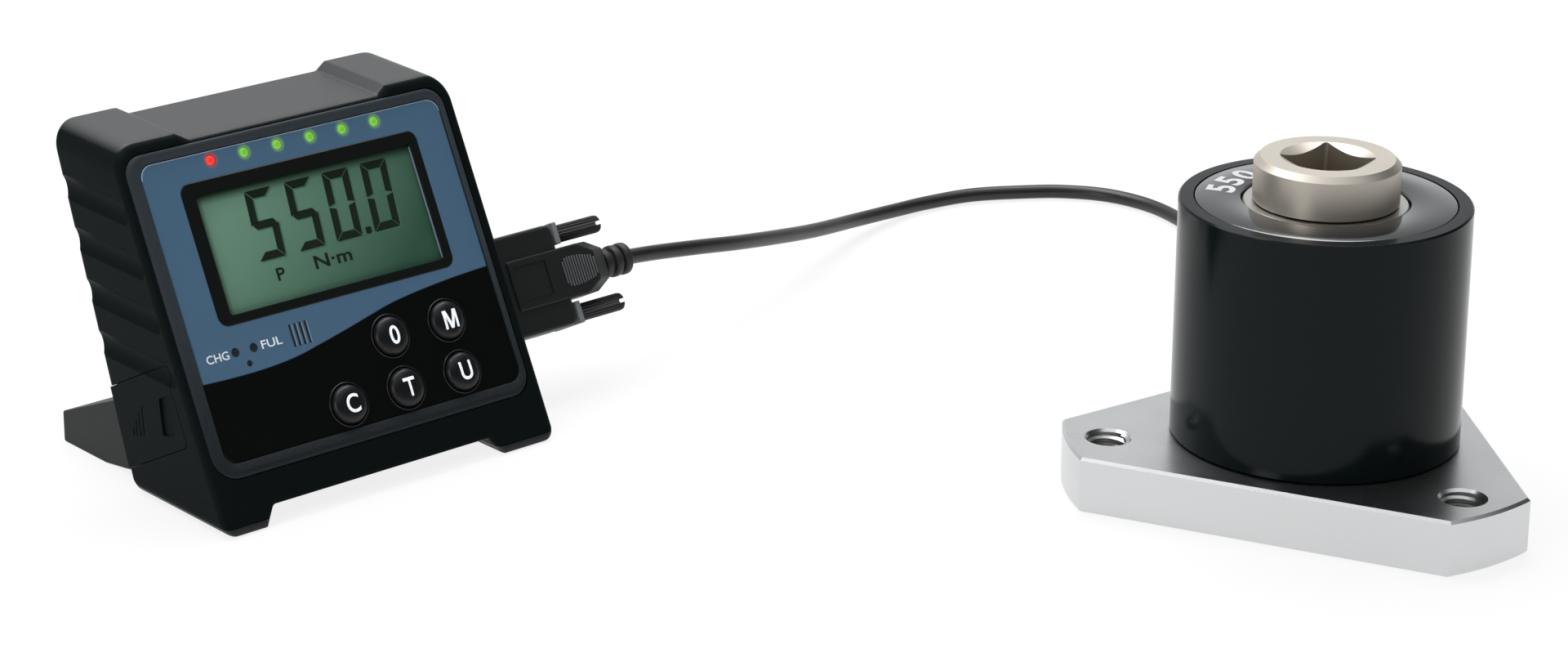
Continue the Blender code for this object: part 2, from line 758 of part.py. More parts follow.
def display_window(tilt):
    """The clear window with its dark border, and the liquid crystal module behind it."""
    outline = box_outline(WINDOW_LEFT, WINDOW_RIGHT, WINDOW_LOW, WINDOW_HIGH, WINDOW_CORNER)
    near = plate_front() - GAP - WINDOW_THICK + 0.1
    tile("lcd_window", outline, near, near + WINDOW_THICK, parent=tilt, look=CLEAR_DARK)
    module = box_outline(
        GLASS_LEFT - LCD_MARGIN, GLASS_RIGHT + LCD_MARGIN, GLASS_LOW - LCD_MARGIN, GLASS_HIGH + LCD_MARGIN
    )
    near = plate_back() + GAP
    tile("lcd_panel", module, near, near + LCD_THICK, parent=tilt, look=LCD_GREEN)


def lamps(tilt):
    """The row of six limit lamps and the two charge lamps, each on a stand on the board."""
    seat = BOARD_DEPTH - GAP
    for k, x in enumerate(led_places()):
        radius = LED_DIAMETER / 2
        name = "led_red" if k == 0 else f"led_green_{k}"
        look = LAMP_RED if k == 0 else LAMP_GREEN
        lamp(name, x, LED_U, radius, seat, look, tilt)
    lamp("charge_lamp", CHARGE_X, LAMP_U, LAMP_DIAMETER / 2, seat, LAMP_RED, tilt)
    lamp("full_lamp", FULL_X, LAMP_U, LAMP_DIAMETER / 2, seat, LAMP_GREEN, tilt)


def lamp(name, x, u, radius, seat, look, tilt):
    profile = [
        (0.0, 0.1),
        (radius * 0.7, 0.2),
        (radius, 0.6),
        (radius, plate_back() + GAP),
        (radius + 0.5, plate_back() + GAP),
        (radius + 0.5, seat),
        (0.0, seat),
    ]
    lathe(name, profile, 12, parent=tilt, look=look, location=(x, 0.0, u), rotation=(-math.pi / 2, 0.0, 0.0))


def buttons(tilt):
    """Domed push buttons with a flange behind the plate and a stem to the switch."""
    radius = BUTTON_DIAMETER / 2
    flange = plate_back() + GAP
    for name, (x, u) in button_places().items():
        profile = [
            (0.0, -BUTTON_RISE),
            (radius * 0.45, -BUTTON_RISE + 0.12),
            (radius * 0.75, -BUTTON_RISE + 0.5),
            (radius * 0.93, -BUTTON_RISE + 1.1),
            (radius, -BUTTON_RISE + 1.9),
            (radius, flange),
            (BUTTON_FLANGE / 2, flange),
            (BUTTON_FLANGE / 2, flange + 1.0),
            (BUTTON_STEM / 2, flange + 1.0),
            (BUTTON_STEM / 2, flange + 1.5),
            (0.0, flange + 1.5),
        ]
        lathe(name, profile, 24, parent=tilt, look=RUBBER, location=(x, 0.0, u), rotation=(-math.pi / 2, 0.0, 0.0))


def main_board(tilt):
    """The circuit board, with a push switch under each button and two chips."""
    outline = box_outline(-BOARD_HALF, BOARD_HALF, BOARD_LOW, BOARD_HIGH, 2.0)
    board = tile("main_board", outline, BOARD_DEPTH, BOARD_DEPTH + BOARD_THICK, parent=tilt, look=BOARD_GREEN)
    top = plate_back() + GAP + 1.5 + BUTTON_TRAVEL + GAP
    half = SWITCH_SIDE / 2
    for name, (x, u) in button_places().items():
        switch = box_outline(x - half, x + half, u - half, u + half)
        join_on(board, tile(f"switch_{name}", switch, top, BOARD_DEPTH + 0.5, parent=tilt))
    chip = box_outline(-26.0, -12.0, 66.0, 80.0)
    back = BOARD_DEPTH + BOARD_THICK
    join_on(board, tile("chip", chip, back - 0.5, back + 1.8, parent=tilt))


def buzzer(tilt):
    radius = BUZZER_DIAMETER / 2
    seat = BOARD_DEPTH - GAP
    profile = [(0.0, seat - BUZZER_HEIGHT), (radius, seat - BUZZER_HEIGHT), (radius, seat), (0.0, seat)]
    lathe(
        "buzzer", profile, 24, parent=tilt, look=PLASTIC,
        location=(SLOT_X, 0.0, SLOT_U), rotation=(-math.pi / 2, 0.0, 0.0),
    )


def battery_door(tilt):
    """The sliding door, which wraps round the back edge and has a finger recess at its front."""
    left = -HALF_WIDTH
    back_low = back_at(DOOR_LOW_U)
    back_high = back_at(DOOR_HIGH_U)
    corners = [
        (DOOR_FRONT, DOOR_LOW_U, DOOR_CORNER),
        (back_low, DOOR_LOW_U, 0.0),
        (back_high, DOOR_HIGH_U, 0.0),
        (DOOR_FRONT, DOOR_HIGH_U, DOOR_CORNER),
    ]
    door = side_prism("battery_door", rounded(corners, 4), left, left + DOOR_THICK, parent=tilt, look=PLASTIC)
    wrap = [
        (back_low - DOOR_THICK, DOOR_LOW_U),
        (back_low, DOOR_LOW_U),
        (back_high, DOOR_HIGH_U),
        (back_high - DOOR_THICK, DOOR_HIGH_U),
    ]
    join_on(door, side_prism("door_wrap", wrap, left + 0.1, left + DOOR_WRAP, parent=tilt))
    slot = box_outline(DOOR_FRONT + 0.6, DOOR_FRONT + 0.6 + DOOR_SLOT_LENGTH, DOOR_SLOT_LOW_U, DOOR_SLOT_HIGH_U, 0.6)
    carve(door, side_prism("door_slot", slot, left - 1, left + DOOR_SLOT_DEPTH, parent=tilt))
    scoop = scoop_outline(-1, SCOOP_TOP - (SCOOP_COUNT_LEFT - 1) * SCOOP_PITCH)
    carve(door, slab("door_scoop", scoop, PARTING - 1, BACK_DEPTH + 4, parent=tilt))


def battery_pack(tilt):
    low = pack_low()
    left = -HALF_WIDTH + DOOR_THICK + 2 * GAP
    near = DOOR_FRONT + DOOR_LEDGE + 1.0 + BOARD_THICK + 1.2
    outline = box_outline(near, near + PACK_DEPTH - 3.0, low, low + PACK_HEIGHT, 1.5)
    side_prism("battery_pack", outline, left, left + PACK_LENGTH, parent=tilt, look=WRAP_BLUE)


def d_outline(long_side, short_side):
    """The D outline of the connector shell, as depth and slope distance about its centre."""
    half = long_side / 2
    corners = [
        (-short_side / 2, -half, 1.6),
        (short_side / 2, -half + 1.2, 1.6),
        (short_side / 2, half - 1.2, 1.6),
        (-short_side / 2, half, 1.6),
    ]
    return [(PORT_DEPTH + n, PORT_U + u) for n, u in rounded(corners, 4)]


def flange_outline():
    outline = box_outline(-FLANGE_SHORT / 2, FLANGE_SHORT / 2, -FLANGE_LONG / 2, FLANGE_LONG / 2, 1.2)
    return [(PORT_DEPTH + n, PORT_U + u) for n, u in outline]


def screw_axes():
    return {"upper": PORT_U + SCREW_SPACING / 2, "lower": PORT_U - SCREW_SPACING / 2}


def port_disc(u, radius, sides=20):
    return [(PORT_DEPTH + n, u + v) for n, v in disc_outline(0.0, 0.0, radius, sides)]


def dsub_socket(tilt):
    """The panel half of the connector: body, flange, shell and two threaded jack nuts."""
    face = HALF_WIDTH
    socket = side_prism(
        "dsub_socket", flange_outline(), face - FLANGE_THICK, face, parent=tilt, look=NICKEL
    )
    body = box_outline(-FLANGE_SHORT / 2 + 1, FLANGE_SHORT / 2 - 1, -SHELL_LONG / 2 - 1, SHELL_LONG / 2 + 1)
    body = [(PORT_DEPTH + n, PORT_U + u) for n, u in body]
    join_on(socket, side_prism("socket_body", body, face - SOCKET_BODY, face - 0.5, parent=tilt))
    inner = d_outline(SHELL_LONG, SHELL_SHORT)
    join_on(socket, side_prism("socket_shell", inner, face - 0.5, face + SOCKET_REACH, parent=tilt))
    for label, u in screw_axes().items():
        nut = port_disc(u, JACK_RADIUS, 6)
        join_on(socket, side_prism(f"jack_{label}", nut, face - 0.5, face + JACK_LENGTH, parent=tilt))
        hole = port_disc(u, THUMB_SHAFT + GAP, 16)
        carve(socket, side_prism(f"jack_hole_{label}", hole, face + 0.5, face + JACK_LENGTH + 1, parent=tilt))


def plug_shell(tilt):
    """The plug's metal front: a flange inside the hood and the D-shaped skirt over the socket."""
    face = HALF_WIDTH
    skirt = d_outline(SHELL_LONG + 2 * (SHELL_WALL + GAP), SHELL_SHORT + 2 * (SHELL_WALL + GAP))
    shell = side_prism("plug_shell", skirt, face + GAP, face + SOCKET_REACH + 2.0, parent=tilt, look=NICKEL)
    bore = d_outline(SHELL_LONG + 2 * GAP, SHELL_SHORT + 2 * GAP)
    carve(shell, side_prism("plug_shell_bore", bore, face - 1, face + SOCKET_REACH + GAP, parent=tilt))
    return shell


def hood_outline(grow):
    """The hood seen across its flat side, as (x, u) points: full at the face, drawn in at its rear."""
    face = HALF_WIDTH + HOOD_START
    half = HOOD_LONG / 2 + grow
    corners = [
        (face - grow, PORT_U - half, 1.0),
        (face + HOOD_LENGTH + grow, PORT_U - half, HOOD_CORNER),
        (face + HOOD_LENGTH + grow, PORT_U + half, HOOD_CORNER),
        (face - grow, PORT_U + half, 1.0),
    ]
    return rounded(corners, 4)


def tail_outline(end):
    """The raised middle of the hood as (x, u) points, drawn in to its tip."""
    start = HALF_WIDTH + HOOD_START + TAIL_START
    return rounded([
        (start, PORT_U - TAIL_HALF, 1.0),
        (end - TAIL_SLOPE, PORT_U - TAIL_HALF, 1.0),
        (end, PORT_U - TAIL_TIP_HALF, 1.0),
        (end, PORT_U + TAIL_TIP_HALF, 1.0),
        (end - TAIL_SLOPE, PORT_U + TAIL_HALF, 1.0),
        (start, PORT_U + TAIL_HALF, 1.0),
    ], 2)


def hood_tail(name, outer, side, tilt):
    """The raised middle of one half, which runs on past the thumbscrews' rings and slopes to the boot."""
    end = HALF_WIDTH + HOOD_START + HOOD_LENGTH + TAIL_REACH
    depths = (
        (outer + side * TAIL_RAISE, end - TAIL_SLOPE),
        (PORT_DEPTH + side * TAIL_TIP_DEPTH, end),
        (PORT_DEPTH + side * GAP / 2, end),
    )
    rings = [[(x, n, u) for x, u in tail_outline(reach)] for n, reach in depths]
    return loft(f"{name}_tail", rings, parent=tilt)


def plug_hood(tilt):
    """The two moulded halves of the hood, which meet on the cable's plane."""
    half = HOOD_SHORT / 2
    face = HALF_WIDTH + HOOD_START
    for name, near, far in (
        ("plug_hood_front", PORT_DEPTH - half, PORT_DEPTH - GAP / 2),
        ("plug_hood_back", PORT_DEPTH + GAP / 2, PORT_DEPTH + half),
    ):
        hood = tile(name, hood_outline(0.0), near, far, parent=tilt, look=PLASTIC)
        outer_face = near if near < PORT_DEPTH - 1 else far
        side = -1 if outer_face < PORT_DEPTH else 1
        join_on(hood, hood_tail(name, outer_face, side, tilt))
        skirt = d_outline(SHELL_LONG + 2 * (SHELL_WALL + 2 * GAP), SHELL_SHORT + 2 * (SHELL_WALL + 2 * GAP))
        carve(hood, side_prism(f"{name}_mouth", skirt, face - 1, HALF_WIDTH + SOCKET_REACH + 2 + GAP, parent=tilt))
        root = port_disc(PORT_U, BOOT_SPIGOT + GAP, 24)
        tip = boot_root()
        carve(hood, side_prism(f"{name}_root", root, tip - BOOT_SPIGOT_LENGTH - GAP, tip + 1, parent=tilt))
        for label, u in screw_axes().items():
            nut = port_disc(u, JACK_RADIUS + 2 * GAP, 20)
            carve(hood, side_prism(f"{name}_nut_{label}", nut, face - 1, HALF_WIDTH + JACK_LENGTH + 1, parent=tilt))
            way = port_disc(u, THUMB_SHAFT + GAP, 16)
            carve(hood, side_prism(f"{name}_way_{label}", way, face, face + HOOD_LENGTH + 1, parent=tilt))
        for k in range(HOOD_RIBS):
            x = face + HOOD_RIB_START + HOOD_RIB_PITCH * k
            groove = box_outline(x, x + HOOD_RIB_WIDTH, PORT_U - TAIL_TIP_HALF, PORT_U + TAIL_TIP_HALF)
            top = outer_face + side * TAIL_RAISE
            reach = (top - 1, top + HOOD_RIB_DEPTH) if side < 0 else (top - HOOD_RIB_DEPTH, top + 1)
            carve(hood, tile(f"{name}_groove_{k}", groove, *reach, parent=tilt))


def thumbscrews(tilt):
    """Two long screws through the hood, with knurled heads and a light ring under each head."""
    root = HALF_WIDTH + HOOD_START + HOOD_LENGTH
    for label, u in screw_axes().items():
        start = -(root - HALF_WIDTH) + 1.5
        head = GAP + RING_THICK + GAP
        profile = [
            (0.0, start),
            (THUMB_SHAFT, start),
            (THUMB_SHAFT, head),
            (THUMB_RADIUS - 0.3, head),
            (THUMB_RADIUS, head + 0.4),
            (THUMB_RADIUS, head + THUMB_LENGTH - 0.6),
            (THUMB_RADIUS - 0.5, head + THUMB_LENGTH),
            (0.0, head + THUMB_LENGTH),
        ]
        axis = add_empty(f"thumbscrew_{label}_axis", (root, PORT_DEPTH, u), (0.0, math.pi / 2, 0.0), tilt)
        screw = lathe(f"thumbscrew_{label}", profile, 18, parent=axis, look=RUBBER)
        slot = loft(f"thumb_slot_{label}", [
            [(x, y, z) for x, y in box_outline(-THUMB_RADIUS - 1, THUMB_RADIUS + 1, -0.4, 0.4)]
            for z in (head + THUMB_LENGTH - 1.0, head + THUMB_LENGTH + 1.0)
        ], parent=axis)
        carve(screw, slot)
        ring = [
            (THUMB_SHAFT + GAP, GAP),
            (RING_RADIUS, GAP),
            (RING_RADIUS, GAP + RING_THICK),
            (THUMB_SHAFT + GAP, GAP + RING_THICK),
        ]
        lathe(f"thumb_ring_{label}", ring, 18, parent=axis, look=GREY_PLASTIC)


def boot_root():
    """How far across the hood's tip stands, where the boot starts."""
    return HALF_WIDTH + HOOD_START + HOOD_LENGTH + TAIL_REACH


def cable_boot(tilt):
    """The ribbed strain relief between the hood and the cable."""
    root = boot_root()
    inner = BOOT_SPIGOT
    profile = [(0.0, -BOOT_SPIGOT_LENGTH), (inner, -BOOT_SPIGOT_LENGTH), (inner, GAP), (BOOT_ROOT, GAP)]
    pitch = BOOT_LENGTH / (BOOT_RIBS + 1)
    for k in range(BOOT_RIBS):
        z = GAP + pitch * (k + 0.6)
        shared = k / BOOT_RIBS
        radius = BOOT_ROOT + (BOOT_TIP - BOOT_ROOT) * shared
        profile += [
            (radius, z), (radius - 1.3, z + 0.3), (radius - 1.3, z + pitch * 0.4), (radius - 0.2, z + pitch * 0.45),
        ]
    profile += [(BOOT_TIP, BOOT_LENGTH), (0.0, BOOT_LENGTH)]
    lathe(
        "cable_boot", profile, 18, parent=tilt, look=RUBBER,
        location=(root, PORT_DEPTH, PORT_U), rotation=(0.0, math.pi / 2, 0.0),
    )


def boot_end():
    """World place of the boot's end, where the cable starts."""
    x = boot_root() + BOOT_LENGTH
    y = PORT_DEPTH * COS + PORT_U * SIN
    z = PORT_U * COS - PORT_DEPTH * SIN
    return (DISPLAY_X + x, DISPLAY_Y + y, z)


def gland_point(distance):
    z = BASE_THICK + GAP + GLAND_HEIGHT
    return (distance * math.cos(GLAND_TURN), distance * math.sin(GLAND_TURN), z)


def cable_route():
    """Hand-chosen places of the cable's centre, from the boot down to the table and on to the gland."""
    x, y, z = boot_end()
    on_table = CABLE_DIAMETER / 2 + TABLE_GAP
    gland_end = HOUSING_DIAMETER / 2 + GLAND_REACH
    route = [
        (x + GAP, y, z),
        (x + 12.0, y + 0.6, z - 0.8),
        (-53.0, 208.5, 29.0),
        (-29.0, 214.4, 24.0),
        (-2.0, 224.4, 17.6),
        (22.5, 234.3, 11.8),
        (50.0, 245.0, 6.4),
        (75.0, 250.5, 3.3),
        (91.0, 250.8, on_table),
        (108.3, 246.8, on_table),
        (124.4, 237.3, on_table),
        (135.1, 228.6, on_table),
        (143.5, 216.0, on_table),
        (146.3, 200.0, on_table),
        (143.3, 182.9, on_table),
        (134.0, 160.0, on_table),
        (118.0, 132.0, on_table),
        (99.0, 108.0, on_table + 0.6),
        (78.0, 88.0, 7.0),
        (60.0, 72.0, 17.0),
        gland_point(gland_end + 20.0)[:2] + (25.0,),
        gland_point(gland_end + 9.0),
        gland_point(gland_end + GAP),
    ]
    return route


def smooth(points, spacing):
    """Evenly spaced places on a smooth curve through the given points."""
    dense = []
    count = len(points)
    for i in range(count - 1):
        before = points[max(i - 1, 0)]
        start = points[i]
        end = points[i + 1]
        after = points[min(i + 2, count - 1)]
        for k in range(24):
            t = k / 24
            dense.append(tuple(
                0.5 * (
                    2 * b + (c - a) * t + (2 * a - 5 * b + 4 * c - d) * t * t
                    + (3 * b - a - 3 * c + d) * t ** 3
                )
                for a, b, c, d in zip(before, start, end, after)
            ))
    dense.append(points[-1])
    lengths = [0.0]
    for a, b in zip(dense, dense[1:]):
        lengths.append(lengths[-1] + math.dist(a, b))
    steps = max(2, round(lengths[-1] / spacing))
    places = []
    i = 0
    for k in range(steps + 1):
        wanted = lengths[-1] * k / steps
        while i < len(dense) - 2 and lengths[i + 1] < wanted:
            i += 1
        share = (wanted - lengths[i]) / (lengths[i + 1] - lengths[i])
        places.append(tuple(a + share * (b - a) for a, b in zip(dense[i], dense[i + 1])))
    return places


def cable():
    """The free cable as a tube along its route."""
    curve = bpy.data.curves.new("cable", "CURVE")
    curve.dimensions = "3D"
    curve.bevel_depth = CABLE_DIAMETER / 2 * MM
    curve.bevel_resolution = 2
    curve.use_fill_caps = True
    places = smooth(cable_route(), CABLE_DIAMETER * 2)
    line = curve.splines.new("POLY")
    line.points.add(len(places) - 1)
    for point, (x, y, z) in zip(line.points, places):
        point.co = (x * MM, y * MM, z * MM, 1.0)
    curve.materials.append(material("cable", RUBBER))
    made = bpy.data.objects.new("cable", curve)
    bpy.context.scene.collection.objects.link(made)


def base_corners():
    """Directions of the base plate's three rounded corners."""
    return [BASE_TURN + k * 2 * math.pi / 3 for k in range(3)]


def base_outline():
    """A triangle with its corners turned off to an arc about the sensor's axis."""
    half_arc = math.pi / 3 - math.acos(BASE_APOTHEM / BASE_RADIUS)
    outline = []
    for middle in base_corners():
        for k in range(9):
            angle = middle - half_arc + 2 * half_arc * k / 8
            outline.append((BASE_RADIUS * math.cos(angle), BASE_RADIUS * math.sin(angle)))
    return outline


def base_plate():
    """The steel flange that the sensor stands on, with three tapped holes and the screws' counterbores."""
    outline = base_outline()
    rings = [
        [(x, y, 0.0) for x, y in shrink(outline, BASE_CHAMFER)],
        [(x, y, BASE_CHAMFER) for x, y in outline],
        [(x, y, BASE_THICK - BASE_CHAMFER) for x, y in outline],
        [(x, y, BASE_THICK) for x, y in shrink(outline, BASE_CHAMFER)],
    ]
    plate = loft("base_plate", rings, look=STEEL)
    sink = (HOLE_SINK - HOLE_DIAMETER) / 2
    for k, angle in enumerate(base_corners()):
        profile = [
            (0.0, -1.0),
            (HOLE_DIAMETER / 2, -1.0),
            (HOLE_DIAMETER / 2, BASE_THICK - sink),
            (HOLE_SINK / 2 + 1.0, BASE_THICK + 1.0),
            (0.0, BASE_THICK + 1.0),
        ]
        place_xy = (HOLE_CIRCLE * math.cos(angle), HOLE_CIRCLE * math.sin(angle), 0.0)
        carve(plate, lathe(f"tapped_hole_{k}", profile, 28, location=place_xy))
    for k, (x, y) in enumerate(base_screw_places()):
        profile = [
            (0.0, -1.0),
            (BASE_SCREW_HEAD + GAP, -1.0),
            (BASE_SCREW_HEAD + GAP, BASE_SCREW_SINK),
            (BASE_SCREW_RADIUS + GAP, BASE_SCREW_SINK),
            (BASE_SCREW_RADIUS + GAP, BASE_THICK + 1.0),
            (0.0, BASE_THICK + 1.0),
        ]
        carve(plate, lathe(f"base_screw_hole_{k}", profile, 16, location=(x, y, 0.0)))


def base_screw_places():
    places = []
    for k in range(BASE_SCREW_COUNT):
        angle = BASE_TURN + math.pi / 4 + k * 2 * math.pi / BASE_SCREW_COUNT
        places.append((BASE_SCREW_CIRCLE * math.cos(angle), BASE_SCREW_CIRCLE * math.sin(angle)))
    return places


def base_screws():
    """Cap screws from below, which hold the measuring shaft to the base plate."""
    for k, (x, y) in enumerate(base_screw_places()):
        low = 0.6
        head = BASE_SCREW_SINK - GAP
        top = BASE_THICK + GAP + SHAFT_FOOT_THICK - 2.0
        profile = [
            (0.0, low + 2.5),
            (1.9, low + 2.5),
            (1.9, low),
            (BASE_SCREW_HEAD, low),
            (BASE_SCREW_HEAD, head),
            (BASE_SCREW_RADIUS, head),
            (BASE_SCREW_RADIUS, top),
            (0.0, top),
        ]
        lathe(f"base_screw_{k + 1}", profile, 14, look=STEEL, location=(x, y, 0.0))


def sensor_housing():
    """The black tube round the sensor, with its cable hole at the back."""
    low = BASE_THICK + GAP
    outer = HOUSING_DIAMETER / 2
    inner = outer - HOUSING_WALL
    profile = [
        (outer, low),
        (outer, HOUSING_TOP - HOUSING_CHAMFER),
        (outer - HOUSING_CHAMFER, HOUSING_TOP),
        (inner, HOUSING_TOP),
        (inner, HOUSING_TOP - COVER_THICK - GAP),
        (inner - COVER_LEDGE, HOUSING_TOP - COVER_THICK - GAP),
        (inner - COVER_LEDGE, low),
    ]
    housing = lathe("sensor_housing", profile, 72, look=BLACK_ANODISED)
    hole_radius = GLAND_RADIUS - 2.0
    hole = [(0.0, inner - 5), (hole_radius, inner - 5), (hole_radius, outer + 3), (0.0, outer + 3)]
    carve(housing, lathe("gland_hole", hole, 16, location=gland_point(0.0), rotation=gland_rotation()))


def gland_rotation():
    return (0.0, math.pi / 2, GLAND_TURN)


def cable_gland():
    """The cable gland: spigot in the wall, flange, waist and domed nut."""
    outer = HOUSING_DIAMETER / 2
    inner = outer - HOUSING_WALL
    spigot = GLAND_RADIUS - 2.0 - GAP
    seat = outer + GAP
    profile = [
        (0.0, inner + 0.5),
        (spigot, inner + 0.5),
        (spigot, seat),
        (GLAND_RADIUS, seat),
        (GLAND_RADIUS, seat + GLAND_NUT),
        (GLAND_RADIUS - 1.0, seat + GLAND_NUT + 0.3),
        (GLAND_RADIUS - 1.0, outer + GLAND_REACH - 3.0),
        (CABLE_DIAMETER / 2 + 0.6, outer + GLAND_REACH),
        (0.0, outer + GLAND_REACH),
    ]
    lathe("cable_gland", profile, 18, look=PLASTIC, location=gland_point(0.0), rotation=gland_rotation())


def top_cover():
    """The black cover disc that closes the tube round the drive."""
    outer = HOUSING_DIAMETER / 2 - HOUSING_WALL - GAP
    low = HOUSING_TOP - COVER_THICK
    profile = [
        (outer, low),
        (outer, HOUSING_TOP - 0.4),
        (outer - 0.4, HOUSING_TOP),
        (COVER_HOLE + 0.5, HOUSING_TOP),
        (COVER_HOLE, HOUSING_TOP - 0.5),
        (COVER_HOLE, low),
    ]
    lathe("top_cover", profile, 72, look=BLACK_ANODISED)


def transducer_shaft():
    """The measuring shaft: foot flange, waisted gauge section and top collar with the drive's bore."""
    low = BASE_THICK + GAP
    top = HOUSING_TOP - SHAFT_TOP_DROP
    collar = top - SHAFT_TOP_THICK
    bore = DRIVE_SPIGOT / 2 + GAP
    bore_low = top - DRIVE_SPIGOT_LENGTH - GAP
    profile = [
        (0.0, low),
        (SHAFT_FOOT_DIAMETER / 2, low),
        (SHAFT_FOOT_DIAMETER / 2, low + SHAFT_FOOT_THICK),
        (SHAFT_WAIST / 2 + 1.0, low + SHAFT_FOOT_THICK),
        (SHAFT_WAIST / 2, low + SHAFT_FOOT_THICK + 3.0),
        (SHAFT_WAIST / 2, collar - 2.0),
        (SHAFT_TOP_DIAMETER / 2 - 0.6, collar),
        (SHAFT_TOP_DIAMETER / 2, collar + 0.6),
        (SHAFT_TOP_DIAMETER / 2, top - 0.3),
        (SHAFT_TOP_DIAMETER / 2 - 0.3, top),
        (bore, top),
        (bore, bore_low),
        (0.0, bore_low),
    ]
    shaft = lathe("transducer_shaft", profile, 36, look=NICKEL)
    for k, (x, y) in enumerate(base_screw_places()):
        hole = [
            (0.0, low - 1.0),
            (BASE_SCREW_RADIUS + GAP, low - 1.0),
            (BASE_SCREW_RADIUS + GAP, low + SHAFT_FOOT_THICK - 1.5),
            (0.0, low + SHAFT_FOOT_THICK - 1.5),
        ]
        carve(shaft, lathe(f"shaft_thread_{k}", hole, 12, location=(x, y, 0.0)))


def drive_socket():
    """The turned steel drive with its female square, and the dished lead-in round the square."""
    low = HOUSING_TOP - SHAFT_TOP_DROP
    seat = low + GAP
    top = HOUSING_TOP + DRIVE_RISE
    head = DRIVE_DIAMETER / 2
    spigot = DRIVE_SPIGOT / 2
    profile = [
        (0.0, low - DRIVE_SPIGOT_LENGTH),
        (spigot - 0.5, low - DRIVE_SPIGOT_LENGTH),
        (spigot, low - DRIVE_SPIGOT_LENGTH + 0.5),
        (spigot, seat),
        (head - 0.4, seat),
        (head, seat + 0.4),
        (head, top - DRIVE_CHAMFER),
        (head - DRIVE_CHAMFER, top),
        (0.0, top),
    ]
    drive = lathe("drive_socket", profile, 60, look=WARM_STEEL)
    half = SQUARE_SIDE / 2
    square = box_outline(-half, half, -half, half, SQUARE_CORNER, 4)
    rings = [[(x, y, z) for x, y in square] for z in (top - SQUARE_DEPTH, top + 1.0)]
    carve(drive, loft("square_hole", rings, rotation=(0.0, 0.0, SQUARE_TURN)))
    slope = (SQUARE_LEAD - half) / SQUARE_LEAD_DEPTH
    lead = [
        (0.0, top - SQUARE_LEAD_DEPTH - 1.0),
        (half - slope, top - SQUARE_LEAD_DEPTH - 1.0),
        (SQUARE_LEAD + slope, top + 1.0),
        (0.0, top + 1.0),
    ]
    carve(drive, lathe("square_lead_in", lead, 60))


def gauge_board():
    """The ring-shaped amplifier board on the shaft's foot."""
    low = BASE_THICK + GAP + SHAFT_FOOT_THICK + GAP
    profile = [
        (GAUGE_BOARD_OUTER, low),
        (GAUGE_BOARD_OUTER, low + GAUGE_BOARD_THICK),
        (GAUGE_BOARD_INNER, low + GAUGE_BOARD_THICK),
        (GAUGE_BOARD_INNER, low),
    ]
    lathe("gauge_board", profile, 32, look=BOARD_GREEN)


def display_unit():
    tilt = add_empty("display_tilt", (DISPLAY_X, DISPLAY_Y, 0.0), (-LEAN, 0.0, 0.0))
    front_bezel(tilt)
    rear_shell(tilt)
    foot_strips(tilt)
    overlay_panel(tilt)
    display_window(tilt)
    lamps(tilt)
    buttons(tilt)
    main_board(tilt)
    buzzer(tilt)
    battery_door(tilt)
    battery_pack(tilt)
    case_screws(tilt)
    dsub_socket(tilt)
    plug_shell(tilt)
    plug_hood(tilt)
    thumbscrews(tilt)
    cable_boot(tilt)


def torque_sensor():
    base_plate()
    base_screws()
    sensor_housing()
    top_cover()
    transducer_shaft()
    drive_socket()
    gauge_board()
    cable_gland()


clear_scene()
display_unit()
torque_sensor()
cable()
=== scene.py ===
"""Looks of the electronic torque tester: fine geometry, finishes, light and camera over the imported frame."""

import math

import bmesh
import bpy
from mathutils import Matrix, Vector


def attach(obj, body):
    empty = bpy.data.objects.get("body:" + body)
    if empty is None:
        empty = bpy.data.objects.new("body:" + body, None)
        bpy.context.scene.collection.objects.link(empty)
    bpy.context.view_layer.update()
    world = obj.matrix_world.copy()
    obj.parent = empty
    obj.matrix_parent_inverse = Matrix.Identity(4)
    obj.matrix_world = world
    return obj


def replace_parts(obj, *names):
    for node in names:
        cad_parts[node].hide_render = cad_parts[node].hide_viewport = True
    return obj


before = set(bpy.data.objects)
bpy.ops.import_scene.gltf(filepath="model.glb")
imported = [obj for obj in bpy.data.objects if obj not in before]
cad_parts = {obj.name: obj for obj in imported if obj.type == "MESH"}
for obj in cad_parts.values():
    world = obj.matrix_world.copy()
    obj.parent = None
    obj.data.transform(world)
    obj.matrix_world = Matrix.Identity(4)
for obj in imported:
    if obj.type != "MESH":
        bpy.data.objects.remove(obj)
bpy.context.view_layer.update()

MM = 0.001
GAP = 0.3
LINE = 0.25
UPRIGHT = Matrix.Identity(4)

# Display housing, in the display's own frame: x to the right, n into the housing, u up the slope
DISPLAY_X = -200.3
DISPLAY_Y = 168.3
LEAN = math.radians(27.0)
SIN = math.sin(LEAN)
COS = math.cos(LEAN)
TILT = Matrix.Translation(Vector((DISPLAY_X, DISPLAY_Y, 0.0)) * MM) @ Matrix.Rotation(-LEAN, 4, "X")
HALF_WIDTH = 58.4
HEIGHT = 101.5
TOP_RISE = 1.0
FRONT = -0.6
BACK_DEPTH = 41.9
BACK_TAPER = 0.134
WALL = 3.5
HOLLOW_MARGIN = 2.4
CORNER = 8.0
FOOT_CORNER = 4.0
EDGE_SOFT = 1.8
END_LEFT = 21.6
END_RIGHT = 21.2
END_SLOPE = 3.8
TOP_RECESS = 2.2
FOOT_LEFT = 14.0
FOOT_RIGHT = 19.0
FOOT_HEIGHT = 5.0
FOOT_STRIP = 2.6
SCOOP_TOP = 87.3
